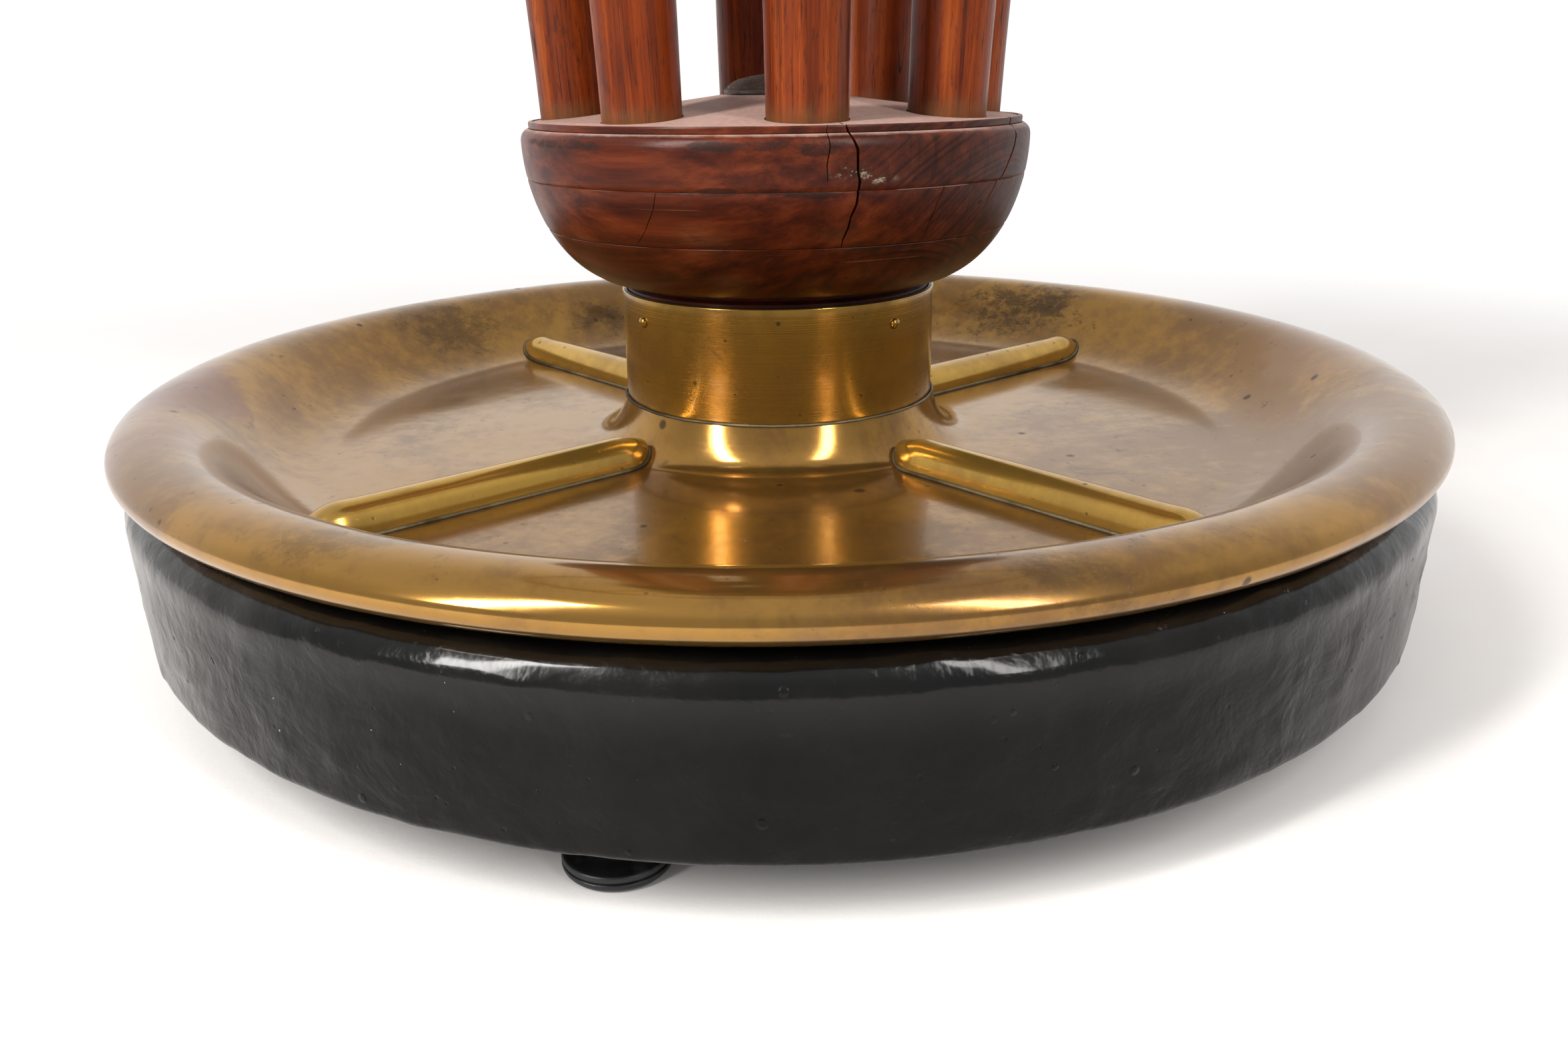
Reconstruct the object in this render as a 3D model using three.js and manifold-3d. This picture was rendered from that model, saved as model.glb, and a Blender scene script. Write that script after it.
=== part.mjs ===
import * as THREE from 'three';
import { mergeVertices } from 'three/addons/utils/BufferGeometryUtils.js';
import Module from 'manifold-3d';

// Umbrella stand: a cast base under a spun brass tray, a turned wooden block in a brass collar,
// eight raking rods, a brass hoop on four arms and a turned crown. Millimetres, +Z up, front at -Y.
// Bearings are degrees from the front, growing towards +X.

const wasm = await Module();
wasm.setup();

// Overall size
const standHeight = 800;
const trayRadius = 280;

// Clearances
const seatGap = 0.3; // between faces that rest on each other
const fitGap = 0.3; // round a peg in its socket
const glueLine = 0.2; // between two boards of the block
const toolPast = 1; // how far a cutting tool runs past the face that it cuts

// Feet
const footCount = 3;
const footBearing = -12.4;
const footInset = 28.5; // from the base's bottom edge in to the foot's axis
const footHeight = 22;
const footPadRadius = 17.5;
const footPadHeight = 6.5;
const footPadChamfer = 1;
const footShoulderWidth = 3;
const footShoulderHeight = 2;
const footStudRadius = 6;
const footStudDepth = 26;
const boreSpare = 1; // over a stud's end
const lockNutFlats = 20;
const lockNutHeight = 9;

// Cast base
const baseHeight = 66;
const baseShoulderProud = 4; // from the tray's edge out to the shoulder
const baseDraft = 2; // the side leans in by this much
const baseBottomChamfer = 3;
const baseShoulderRound = 12;
const baseShoulderDrop = 1.6; // from the tray's edge down to the shoulder's top
const baseSkirtWall = 10;
const basePlateThickness = 10;
const baseRimWidth = 30.5;
const baseRimSlope = 18;
const baseHubWall = 10; // round the tie rod's washer
const baseHubDrop = 9;
const footBossRadius = 18;
const webThickness = 8;
const webDepth = 26;
const rootDepth = 1; // webs and bosses run this far into the plate

// Spun tray
const traySheet = 2;
const trayEdgeReach = 10.5; // from the roll's centre out to the sheet's edge
const trayRollReach = 17;
const trayRollRise = 9.5;
const trayRollStart = 65; // degrees over the outward direction
const trayRollEnd = -45;
const trayFloorDrop = 14; // from the tray's edge down to its floor
const trayCoveWidth = 63;
const trayCoveFootHandle = 36;
const trayCoveCrownHandle = 25;
const hubFlareWidth = 20;
const hubFlareBulge = 5;
const hubFlareHandle = 10;
const hubFlareLift = 14 / 3;

// Ribs on the tray
const ribCount = 4;
const ribBearing = 41;
const ribRoot = 7; // from the collar out to the rib's inner end
const ribClimb = 26; // how far the rib runs into the cove
const ribWidth = 20;
const ribHeight = 12;
const ribNose = 16;
const ribSteps = 14;
const ribRoundSteps = 8;
const ribFlatSteps = 5;
const ribTip = 0.08; // an end is this share of the rib's own width and height
const ribSink = 0.75; // how far the top stays level, in shares of the cove's rise under the outer end
const ribFootLift = 0.1; // the round starts this far over the underside

// Collar and its nails
const collarRadius = 70;
const collarWall = 2;
const collarHeight = 48;
const collarLift = 5.5; // from the tray's edge up to the collar
const collarChamfer = 1;
const nailBearings = [-55, 44, 134, -146];
const nailDrop = 10;
const nailHeadRadius = 2.3;
const nailShankRadius = 0.9;
const nailLength = 14;
const nailPoint = 2;
const nailHeadRise = 0.7; // share of the head's radius

// Turned block
const neckShow = 4;
const blockFootInset = 0.5; // from the collar in to the block's foot
const blockRadius = 109.2;
const blockShoulderDrop = 8.5; // from the rim down to the widest point
const bowlFootHandle = new THREE.Vector2(20.5, 1);
const bowlShoulderHandle = new THREE.Vector2(-0.4, -32.5);
const lowerBoard = 23.5;
const middleBoard = 21;
const upperBoard = 23;
const blockDiscStep = 3.4; // from the widest point in to the disc
const blockDiscHeight = 3.4;
const discShoulderDrop = 2.4;
const discShoulderIn = 0.5;
const discChamfer = 0.6;
const blockConeRise = 9;
const blockConeLand = 2; // round the cap nut
const blockConeCurve = 1.2;

// Tie rod
const tieRadius = 8;
const tieWasherRadius = 22;
const tieWasherThickness = 3;
const seatSpare = 1; // round the washer
const tieNutFlats = 24;
const tieNutHeight = 13;
const tieEndBelowNut = 4;
const capNutRadius = 22;
const capNutHeight = 8;
const capNutDepth = 5.5;
const capNutEdge = 2;
const capNutChamfer = 0.6;

// Rods
const rodCount = 8;
const rodBearing = 8;
const rodEdge = 5.8; // from the disc's edge in to the rod's side
const rodLean = 2.6;
const rodFootRadius = 15.5;
const rodTopRadius = 14.5;
const rodSwell = 2.4;
const rodSocketDepth = 40;
const rodClearAbove = 30; // a socket's tool runs this far over the rim

// Spreader, hoop and arms
const spreaderHeight = 500;
const spreaderThickness = 26;
const spreaderEdge = 17.2; // from the rods' sides out to the disc's edge
const spreaderChamfer = 5;
const spreaderHoleRadius = 45;
const hoopOverCove = 15; // from the cove's foot out to the hoop
const hoopTube = 6;
const armStudRadius = 4;
const armStudDepth = 18;
const armRosetteRadius = 13;
const armRosetteThickness = 4;
const armRosetteChamfer = 1.5;
const armRosetteEdge = 2;
const armRadius = 5.5;
const armBallRadius = 10.5;

// Crown and knob
const crownThickness = 38;
const crownEdge = 16.9; // from the rods' sides out to the crown's edge
const crownSocketDepth = 24;
// From the crown's edge and foot
const crownSide = [[-8, 0], [-2.5, 3], [0, 9], [-0.5, 17], [-4, 21], [-7, 21], [-7, 25]];
const crownDomeShare = 0.6;
const crownDomeDrop = 4;
const crownTopLand = 4; // round the knob's flange
const knobPegRadius = 10;
const knobPegDepth = 22;
const knobHeight = 62;
const knobFlangeRadius = 27;
const knobNeckRadius = 12;
const knobBallRadius = 23;
const knobFlangeSide = [[1, 2.5], [-1, 5]]; // from the flange's edge and foot
const knobNeckSide = [[3, 8], [0, 13]]; // from the neck's side and the flange's foot
const knobBallStart = -58;

// Facets
const wideFacets = 48;
const bodyFacets = 36;
const rodFacets = 12;
const knobFacets = 20;
const smallFacets = 8;
const nutFacets = 20;
const washerFacets = 24;
const flareSteps = 3;
const coveSteps = 6;
const roundSteps = 4;
const lowerBoardSteps = 6;
const boardSteps = 3;
const coneSteps = 4;
const rodSteps = 7;
const ballSteps = 8;

// Heights above the floor that several pieces share
const trayEdge = footHeight + baseHeight;
const trayFloor = trayEdge - trayFloorDrop;
const basePlateTop = trayFloor - traySheet - seatGap;
const basePlateBottom = basePlateTop - basePlateThickness;
const baseHubBottom = basePlateBottom - baseHubDrop;
const collarBottom = trayEdge + collarLift;
const collarTop = collarBottom + collarHeight;
const neckRadius = collarRadius - collarWall - fitGap;
const blockFoot = collarTop + neckShow;
const lowerJoint = blockFoot + lowerBoard;
const upperJoint = lowerJoint + middleBoard;
const blockRim = upperJoint + upperBoard;
const blockTop = blockRim + blockConeRise;
const crownTop = standHeight - knobHeight;
const crownBottom = crownTop - crownThickness;

// Radii that several pieces share
const trayRollCentre = trayRadius - trayRollReach;
const trayEdgeRadius = trayRollCentre + trayEdgeReach;
const trayCoveFoot = trayRollCentre - trayCoveWidth;
const hubFlareFoot = collarRadius + hubFlareWidth;
const baseShoulderRadius = trayEdgeRadius + baseShoulderProud;
const baseBottomRadius = baseShoulderRadius - baseDraft;
const baseHubRadius = tieWasherRadius + baseHubWall;
const footRing = baseBottomRadius - footInset;
const ribInner = collarRadius + ribRoot;
const ribOuter = trayCoveFoot + ribClimb;
const hoopRadius = trayCoveFoot + hoopOverCove;
const blockDiscRadius = blockRadius - blockDiscStep;
const rodRing = blockDiscRadius - rodFootRadius - rodEdge;

const brass = new THREE.MeshStandardMaterial({ color: 0xb08a45, roughness: 0.3, metalness: 1 });
const paint = new THREE.MeshStandardMaterial({ color: 0x17171a, roughness: 0.35, metalness: 0 });
const rubber = new THREE.MeshStandardMaterial({ color: 0x1b1a19, roughness: 0.7, metalness: 0 });
const steel = new THREE.MeshStandardMaterial({ color: 0x7d7a74, roughness: 0.45, metalness: 1 });
const redWood = new THREE.MeshStandardMaterial({ color: 0x70301a, roughness: 0.35, metalness: 0 });
const rodWood = new THREE.MeshStandardMaterial({ color: 0x96521f, roughness: 0.35, metalness: 0 });

const stand = new THREE.Group();

const radians = (degrees) => THREE.MathUtils.degToRad(degrees);
const point = (radius, height) => new THREE.Vector2(radius, height);

// A turned solid round +Z, from an outline that runs from its lowest point outwards and up.
function turned(outline, facets) {
  const geometry = new THREE.LatheGeometry(outline, facets);
  geometry.rotateX(Math.PI / 2);
  return geometry;
}

// A ring: the outline closes on itself, so its first point is repeated at the end.
function turnedRing(outline, facets) {
  return turned([...outline, outline[0]], facets);
}

function peg(radius, bottom, top, facets) {
  return turned([point(0, bottom), point(radius, bottom), point(radius, top), point(0, top)], facets);
}

function hexPrism(flats, bottom, top) {
  return peg(flats / Math.sqrt(3), bottom, top, 6);
}

// The closed triangle mesh of a geometry as a solid that can be joined and cut.
function solidOf(geometry, matrix = new THREE.Matrix4()) {
  const bare = geometry.clone().applyMatrix4(matrix);
  bare.deleteAttribute('normal');
  bare.deleteAttribute('uv');
  const merged = mergeVertices(bare, 1e-4);
  const index = merged.index.array;
  const triangles = [];
  for (let i = 0; i < index.length; i += 3) {
    const [a, b, c] = index.slice(i, i + 3);
    if (a !== b && b !== c && c !== a) triangles.push(a, b, c);
  }
  return new wasm.Manifold(new wasm.Mesh({
    numProp: 3,
    vertProperties: new Float32Array(merged.attributes.position.array),
    triVerts: new Uint32Array(triangles),
  }));
}

function geometryOf(solid) {
  const mesh = solid.getMesh();
  const geometry = new THREE.BufferGeometry();
  geometry.setAttribute('position', new THREE.BufferAttribute(mesh.vertProperties, 3));
  geometry.setIndex(new THREE.BufferAttribute(mesh.triVerts, 1));
  return geometry;
}

function cut(geometry, tools) {
  return geometryOf(tools.reduce((solid, tool) => solid.subtract(tool), solidOf(geometry)));
}

function addPiece(name, geometry, material, parent = stand) {
  const mesh = new THREE.Mesh(geometry, material);
  mesh.name = name;
  parent.add(mesh);
  return mesh;
}

// A group whose own +X points away from the stand's axis on the given bearing.
function bearingGroup(bearing) {
  const group = new THREE.Group();
  group.rotation.z = radians(bearing - 90);
  stand.add(group);
  return group;
}

function placeOf(object) {
  object.updateWorldMatrix(true, false);
  return object.matrixWorld;
}

function evenBearings(count, first) {
  return Array.from({ length: count }, (unused, k) => first + (360 / count) * k);
}

// An arc of an outline from one angle to another, in degrees from the outward direction.
function arc(centre, reach, rise, from, to, steps) {
  return Array.from({ length: steps + 1 }, (unused, k) => {
    const angle = radians(from + ((to - from) * k) / steps);
    return point(centre.x + reach * Math.cos(angle), centre.y + rise * Math.sin(angle));
  });
}

// The same outline moved sideways by a distance, to its right as it runs.
function offsetOutline(outline, distance) {
  return outline.map((here, k) => {
    const before = outline[Math.max(k - 1, 0)];
    const after = outline[Math.min(k + 1, outline.length - 1)];
    const run = after.clone().sub(before).normalize();
    return point(here.x + run.y * distance, here.y - run.x * distance);
  });
}

// Tray: the upper face of the sheet runs from the hub's top out over the floor, cove and roll.
const trayCrown = trayEdge + 2 * trayRollRise;
const hubTop = collarBottom - seatGap;
const hubFlare = new THREE.CubicBezierCurve(
  point(collarRadius, hubTop),
  point(collarRadius + hubFlareBulge, trayFloor + hubFlareLift),
  point(hubFlareFoot - hubFlareHandle, trayFloor),
  point(hubFlareFoot, trayFloor),
);
const trayCove = new THREE.CubicBezierCurve(
  point(trayCoveFoot, trayFloor),
  point(trayCoveFoot + trayCoveFootHandle, trayFloor),
  point(trayRollCentre - trayCoveCrownHandle, trayCrown),
  point(trayRollCentre, trayCrown),
);
const trayRollMiddle = point(trayRollCentre, trayEdge + trayRollRise);
const trayRoll = arc(trayRollMiddle, trayRollReach, trayRollRise, trayRollStart, trayRollEnd, roundSteps);
const trayUpper = [
  ...hubFlare.getPoints(flareSteps),
  ...trayCove.getPoints(coveSteps),
  ...trayRoll,
  point(trayEdgeRadius, trayEdge),
];
const trayOutline = [...offsetOutline(trayUpper, traySheet), ...trayUpper.slice().reverse()];
addPiece('tray', turnedRing(trayOutline, wideFacets), brass);

function outlineHeightAt(radius) {
  const outer = Math.max(trayUpper.findIndex((here) => here.x >= radius), 1);
  const far = trayUpper[outer];
  const near = trayUpper[outer - 1];
  return THREE.MathUtils.mapLinear(radius, near.x, far.x, near.y, far.y);
}

// The tray's height at a radius, on a corner or the middle of a facet, whichever is higher.
function trayHeightAt(radius) {
  return Math.max(outlineHeightAt(radius), outlineHeightAt(radius / Math.cos(Math.PI / wideFacets)));
}

// Ribs: half-round bars whose underside follows the tray and whose two ends close down to a nose.
function ribGeometry() {
  const length = ribOuter - ribInner;
  const positions = [];
  const index = [];
  const ring = ribRoundSteps + ribFlatSteps;
  for (let i = 0; i <= ribSteps; i += 1) {
    const along = (1 - Math.cos((Math.PI * i) / ribSteps)) / 2;
    const x = ribInner + length * along;
    const toEnd = Math.min(x - ribInner, ribOuter - x);
    const swell = toEnd >= ribNose ? 1 : Math.sqrt(1 - (1 - toEnd / ribNose) ** 2);
    const half = (ribWidth / 2) * Math.max(swell, ribTip);
    const climb = x > trayCoveFoot ? trayHeightAt(x) - trayFloor : 0;
    const rise = Math.max(ribHeight * swell - climb * ribSink, ribHeight * ribTip);
    for (let k = 0; k <= ribRoundSteps; k += 1) {
      const angle = (Math.PI * k) / ribRoundSteps;
      const y = half * Math.cos(angle);
      const foot = trayHeightAt(Math.hypot(x, y)) + seatGap + ribFootLift;
      positions.push(x, y, foot + rise * Math.sin(angle));
    }
    for (let k = 1; k < ribFlatSteps; k += 1) {
      const y = half * (-1 + (2 * k) / ribFlatSteps);
      positions.push(x, y, trayHeightAt(Math.hypot(x, y)) + seatGap);
    }
  }
  for (let i = 0; i < ribSteps; i += 1) {
    for (let k = 0; k < ring; k += 1) {
      const a = i * ring + k;
      const b = i * ring + ((k + 1) % ring);
      index.push(a, b, a + ring, b, b + ring, a + ring);
    }
  }
  for (let k = 1; k < ring - 1; k += 1) {
    index.push(0, k + 1, k);
    index.push(ribSteps * ring, ribSteps * ring + k, ribSteps * ring + k + 1);
  }
  const geometry = new THREE.BufferGeometry();
  geometry.setAttribute('position', new THREE.Float32BufferAttribute(positions, 3));
  geometry.setIndex(index);
  return geometry;
}

evenBearings(ribCount, ribBearing).forEach((bearing, k) => {
  addPiece(`tray_rib_${k + 1}`, ribGeometry(), brass, bearingGroup(bearing));
});

// Feet: a pad on a stud that screws up into its boss, held by a lock nut.
const footBearings = evenBearings(footCount, footBearing);
const footStudTop = footHeight + footStudDepth;

footBearings.forEach((bearing, k) => {
  const group = bearingGroup(bearing);
  const outline = [
    point(0, 0),
    point(footPadRadius - footPadChamfer, 0),
    point(footPadRadius, footPadChamfer),
    point(footPadRadius, footPadHeight - footPadChamfer),
    point(footPadRadius - footPadChamfer, footPadHeight),
    point(footStudRadius + footShoulderWidth, footPadHeight + footShoulderHeight),
    point(footStudRadius, footPadHeight + footShoulderHeight),
    point(footStudRadius, footStudTop),
    point(0, footStudTop),
  ];
  addPiece(`foot_${k + 1}`, turned(outline, rodFacets), rubber, group).position.x = footRing;
  const nutTop = footHeight - seatGap;
  const nut = cut(
    hexPrism(lockNutFlats, nutTop - lockNutHeight, nutTop),
    [solidOf(peg(footStudRadius + fitGap, 0, footStudTop, rodFacets))],
  );
  addPiece(`foot_lock_nut_${k + 1}`, nut, steel, group).position.x = footRing;
});

// Base: a shell open below, with a hub for the tie rod and a boss and a web for each foot.
function baseGeometry() {
  const shoulderTop = trayEdge - baseShoulderDrop;
  const shoulder = point(baseShoulderRadius - baseShoulderRound, shoulderTop - baseShoulderRound);
  const skirtInner = baseBottomRadius - baseSkirtWall;
  const rimInner = baseShoulderRadius - baseRimWidth;
  const shell = turned([
    point(0, baseHubBottom),
    point(baseHubRadius, baseHubBottom),
    point(baseHubRadius, basePlateBottom),
    point(skirtInner, basePlateBottom),
    point(skirtInner, footHeight),
    point(baseBottomRadius - baseBottomChamfer, footHeight),
    point(baseBottomRadius, footHeight + baseBottomChamfer),
    ...arc(shoulder, baseShoulderRound, baseShoulderRound, 0, 90, roundSteps),
    point(rimInner, shoulderTop),
    point(rimInner - baseRimSlope, basePlateTop),
    point(0, basePlateTop),
  ], wideFacets);
  let solid = solidOf(shell);
  footBearings.forEach((bearing) => {
    const turn = new THREE.Matrix4().makeRotationZ(radians(bearing - 90));
    const out = new THREE.Matrix4().makeTranslation(footRing, 0, 0);
    const web = new THREE.BoxGeometry(footRing, webThickness, webDepth);
    web.translate(footRing / 2, 0, basePlateBottom - webDepth / 2 + rootDepth);
    solid = solid.add(solidOf(web, turn));
    out.premultiply(turn);
    solid = solid.add(solidOf(peg(footBossRadius, footHeight, basePlateBottom + rootDepth, rodFacets), out));
  });
  footBearings.forEach((bearing) => {
    const turn = new THREE.Matrix4().makeRotationZ(radians(bearing - 90));
    const out = new THREE.Matrix4().makeTranslation(footRing, 0, 0).premultiply(turn);
    const bore = peg(footStudRadius + fitGap, footHeight - toolPast, footStudTop + boreSpare, rodFacets);
    solid = solid.subtract(solidOf(bore, out));
  });
  const tieSeat = peg(tieWasherRadius + seatSpare, 0, baseHubBottom, bodyFacets);
  const tieBore = peg(tieRadius + fitGap, 0, trayEdge, rodFacets);
  return geometryOf(solid.subtract(solidOf(tieSeat)).subtract(solidOf(tieBore)));
}

addPiece('base_casting', baseGeometry(), paint);

// Rods: they rake outwards from their sockets in the block up to those in the crown.
const rodLength = (crownBottom - blockRim) / Math.cos(radians(rodLean)) + crownSocketDepth;

function rodRadiusAt(along) {
  const t = THREE.MathUtils.clamp(along / rodLength, 0, 1);
  return THREE.MathUtils.lerp(rodFootRadius, rodTopRadius, t) + rodSwell * Math.sin(Math.PI * t);
}

// How far out the rods' sides reach at a height above the floor.
function rodReachAt(height) {
  const along = (height - blockRim) / Math.cos(radians(rodLean));
  return rodRing + (height - blockRim) * Math.tan(radians(rodLean)) + rodRadiusAt(along);
}

function rodGeometry() {
  const side = Array.from({ length: rodSteps + 1 }, (unused, k) => {
    const along = (rodLength * k) / rodSteps;
    return point(rodRadiusAt(along), along);
  });
  return turned([
    point(0, -rodSocketDepth),
    point(rodFootRadius, -rodSocketDepth),
    ...side,
    point(0, rodLength),
  ], rodFacets);
}

const rods = evenBearings(rodCount, rodBearing).map((bearing, k) => {
  const rod = addPiece(`rod_${k + 1}`, rodGeometry(), rodWood, bearingGroup(bearing));
  rod.position.set(rodRing, 0, blockRim);
  rod.rotation.y = radians(rodLean);
  return rod;
});

// The room that every rod needs between two places along it.
function rodRoom(from, to) {
  const radius = rodRadiusAt((from + to) / 2) + fitGap;
  return rods.map((rod) => solidOf(peg(radius, from, to, rodFacets), placeOf(rod)));
}

const tieRoom = solidOf(peg(tieRadius + fitGap, 0, blockTop + toolPast, rodFacets));

// Collar and nails: each nail passes the collar into the neck.
const nailHeight = collarTop - nailDrop;
const nailGroups = nailBearings.map((bearing, k) => {
  const group = bearingGroup(bearing);
  const headFoot = collarRadius + seatGap;
  const outline = [
    point(0, headFoot - nailLength),
    point(nailShankRadius, headFoot - nailLength + nailPoint),
    point(nailShankRadius, headFoot),
    ...arc(point(0, headFoot), nailHeadRadius, nailHeadRadius * nailHeadRise, 0, 90, flareSteps),
  ];
  outline[outline.length - 1].x = 0;
  const nail = addPiece(`collar_nail_${k + 1}`, turned(outline, smallFacets), brass, group);
  nail.position.z = nailHeight;
  nail.rotation.y = Math.PI / 2;
  return nail;
});
const nailRoom = nailGroups.map((nail) => {
  const foot = collarRadius - nailLength - boreSpare;
  const shank = peg(nailShankRadius + fitGap, foot, collarRadius + nailHeadRadius + toolPast, smallFacets);
  return solidOf(shank, placeOf(nail));
});

const collarTube = turnedRing([
  point(collarRadius - collarWall, collarBottom),
  point(collarRadius, collarBottom),
  point(collarRadius, collarTop - collarChamfer),
  point(collarRadius - collarChamfer, collarTop),
  point(collarRadius - collarWall, collarTop),
], bodyFacets);
addPiece('collar', cut(collarTube, nailRoom), brass);

// Block: a neck and three glued boards, turned as one to a bowl.
const widest = blockRim - blockShoulderDrop;
const bowlStart = point(collarRadius - blockFootInset, blockFoot);
const bowlEnd = point(blockRadius, widest);
const bowl = new THREE.CubicBezierCurve(
  bowlStart,
  bowlStart.clone().add(bowlFootHandle),
  bowlEnd.clone().add(bowlShoulderHandle),
  bowlEnd,
);

function bowlRadiusAt(height) {
  let low = 0;
  let high = 1;
  for (let k = 0; k < 30; k += 1) {
    const middle = (low + high) / 2;
    if (bowl.getPoint(middle).y < height) low = middle;
    else high = middle;
  }
  return bowl.getPoint(low).x;
}

function boardSide(bottom, top, steps) {
  return Array.from({ length: steps + 1 }, (unused, k) => {
    const height = bottom + ((top - bottom) * k) / steps;
    return point(bowlRadiusAt(height), height);
  });
}

function board(bottom, side, top) {
  return turned([point(0, bottom), ...side, point(0, top)], bodyFacets);
}

const socketRoom = rodRoom(-rodSocketDepth - fitGap, rodClearAbove);
const neck = turned([
  point(0, basePlateTop + seatGap),
  point(neckRadius, basePlateTop + seatGap),
  point(neckRadius, blockFoot - glueLine),
  point(0, blockFoot - glueLine),
], bodyFacets);
addPiece('block_neck', cut(neck, [tieRoom, ...nailRoom]), redWood);

const lowerBoardTop = lowerJoint - glueLine;
addPiece('block_lower_board', cut(
  board(blockFoot, boardSide(blockFoot, lowerBoardTop, lowerBoardSteps), lowerBoardTop),
  [tieRoom],
), redWood);

const middleBoardTop = upperJoint - glueLine;
addPiece('block_middle_board', cut(
  board(lowerJoint, boardSide(lowerJoint, middleBoardTop, boardSteps), middleBoardTop),
  [tieRoom, ...socketRoom],
), redWood);

const discFoot = blockRim - blockDiscHeight;
const cone = Array.from({ length: coneSteps + 1 }, (unused, k) => {
  const t = k / coneSteps;
  return point(
    THREE.MathUtils.lerp(blockDiscRadius - discChamfer, capNutRadius + blockConeLand, t),
    blockRim + blockConeRise * t ** blockConeCurve,
  );
});
addPiece('block_upper_board', cut(
  board(upperJoint, [
    ...boardSide(upperJoint, widest, boardSteps),
    point(blockRadius - discShoulderIn, discFoot - discShoulderDrop),
    point(blockRadius - discShoulderDrop, discFoot),
    point(blockDiscRadius, discFoot),
    point(blockDiscRadius, blockRim - discChamfer),
    ...cone,
  ], blockTop),
  [tieRoom, ...socketRoom],
), redWood);

// Tie rod: it clamps block, tray and base between a cap nut above and a washer and nut below.
const tieWasherTop = baseHubBottom - seatGap;
const tieWasherBottom = tieWasherTop - tieWasherThickness;
const tieNutTop = tieWasherBottom - seatGap;
const tieNutBottom = tieNutTop - tieNutHeight;
const capNutBottom = blockTop + seatGap;
const tieBottom = tieNutBottom - tieEndBelowNut;
addPiece('tie_rod', peg(tieRadius, tieBottom, capNutBottom + capNutDepth, rodFacets), steel);
const capNutMiddle = point(0, capNutBottom + capNutEdge);
addPiece('tie_cap_nut', cut(turned([
  point(0, capNutBottom),
  point(capNutRadius, capNutBottom),
  point(capNutRadius, capNutBottom + capNutEdge),
  ...arc(capNutMiddle, capNutRadius - capNutChamfer, capNutHeight - capNutEdge, 0, 80, roundSteps),
  point(0, capNutBottom + capNutHeight),
], nutFacets), [solidOf(peg(tieRadius + fitGap, 0, capNutBottom + capNutDepth + fitGap, rodFacets))]), steel);
addPiece('tie_washer', turnedRing([
  point(tieRadius + fitGap, tieWasherBottom),
  point(tieWasherRadius, tieWasherBottom),
  point(tieWasherRadius, tieWasherTop),
  point(tieRadius + fitGap, tieWasherTop),
], washerFacets), steel);
addPiece('tie_nut', cut(
  hexPrism(tieNutFlats, tieNutBottom, tieNutTop),
  [solidOf(peg(tieRadius + fitGap, 0, trayEdge, rodFacets))],
), steel);

const spreaderRadius = rodReachAt(spreaderHeight) + spreaderEdge;

// Arms: each has a stud in the spreader, a rosette on its edge and a ball that the hoop passes through.
const hoopTool = new THREE.TorusGeometry(hoopRadius, hoopTube + fitGap, smallFacets, wideFacets);
hoopTool.translate(0, 0, spreaderHeight);
const hoopRoom = solidOf(hoopTool);
const armFoot = spreaderRadius + seatGap;
const armGroups = evenBearings(ribCount, ribBearing).map((bearing, k) => {
  const group = bearingGroup(bearing);
  const ballStart = 180 - THREE.MathUtils.radToDeg(Math.asin(armRadius / armBallRadius));
  const outline = [
    point(0, spreaderRadius - armStudDepth),
    point(armStudRadius, spreaderRadius - armStudDepth),
    point(armStudRadius, armFoot),
    point(armRosetteRadius, armFoot),
    point(armRosetteRadius, armFoot + armRosetteThickness - armRosetteChamfer),
    point(armRosetteRadius - armRosetteEdge, armFoot + armRosetteThickness),
    point(armRadius, armFoot + armRosetteThickness + armRosetteEdge),
    ...arc(point(0, hoopRadius), armBallRadius, armBallRadius, 90 - ballStart, 90, rodSteps),
  ];
  outline[outline.length - 1].x = 0;
  const turn = new THREE.Matrix4().makeRotationY(Math.PI / 2);
  const place = placeOf(group).clone().multiply(new THREE.Matrix4().makeTranslation(0, 0, spreaderHeight));
  const solid = solidOf(turned(outline, smallFacets), place.clone().multiply(turn)).subtract(hoopRoom);
  const geometry = geometryOf(solid).applyMatrix4(place.clone().invert());
  addPiece(`hoop_arm_${k + 1}`, geometry, brass, group).position.z = spreaderHeight;
  return place.clone().multiply(turn);
});

const hoop = new THREE.TorusGeometry(hoopRadius, hoopTube, smallFacets, wideFacets);
addPiece('hoop', hoop, brass).position.z = spreaderHeight;

// Spreader: a turned disc that every rod passes through.
const spreaderBottom = spreaderHeight - spreaderThickness / 2;
const spreaderTop = spreaderHeight + spreaderThickness / 2;
const armRoom = armGroups.map((place) => solidOf(
  peg(armStudRadius + fitGap, spreaderRadius - armStudDepth - fitGap, spreaderRadius + toolPast, smallFacets),
  place,
));
const spreaderAlong = (spreaderHeight - blockRim) / Math.cos(radians(rodLean));
const spreaderReach = spreaderThickness / 2 + rodFootRadius;
addPiece('spreader_disc', cut(turnedRing([
  point(spreaderHoleRadius, spreaderBottom),
  point(spreaderRadius - spreaderChamfer, spreaderBottom),
  point(spreaderRadius, spreaderBottom + spreaderChamfer),
  point(spreaderRadius, spreaderTop - spreaderChamfer),
  point(spreaderRadius - spreaderChamfer, spreaderTop),
  point(spreaderHoleRadius, spreaderTop),
], bodyFacets), [
  ...rodRoom(spreaderAlong - spreaderReach, spreaderAlong + spreaderReach),
  ...armRoom,
]), redWood);

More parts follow.
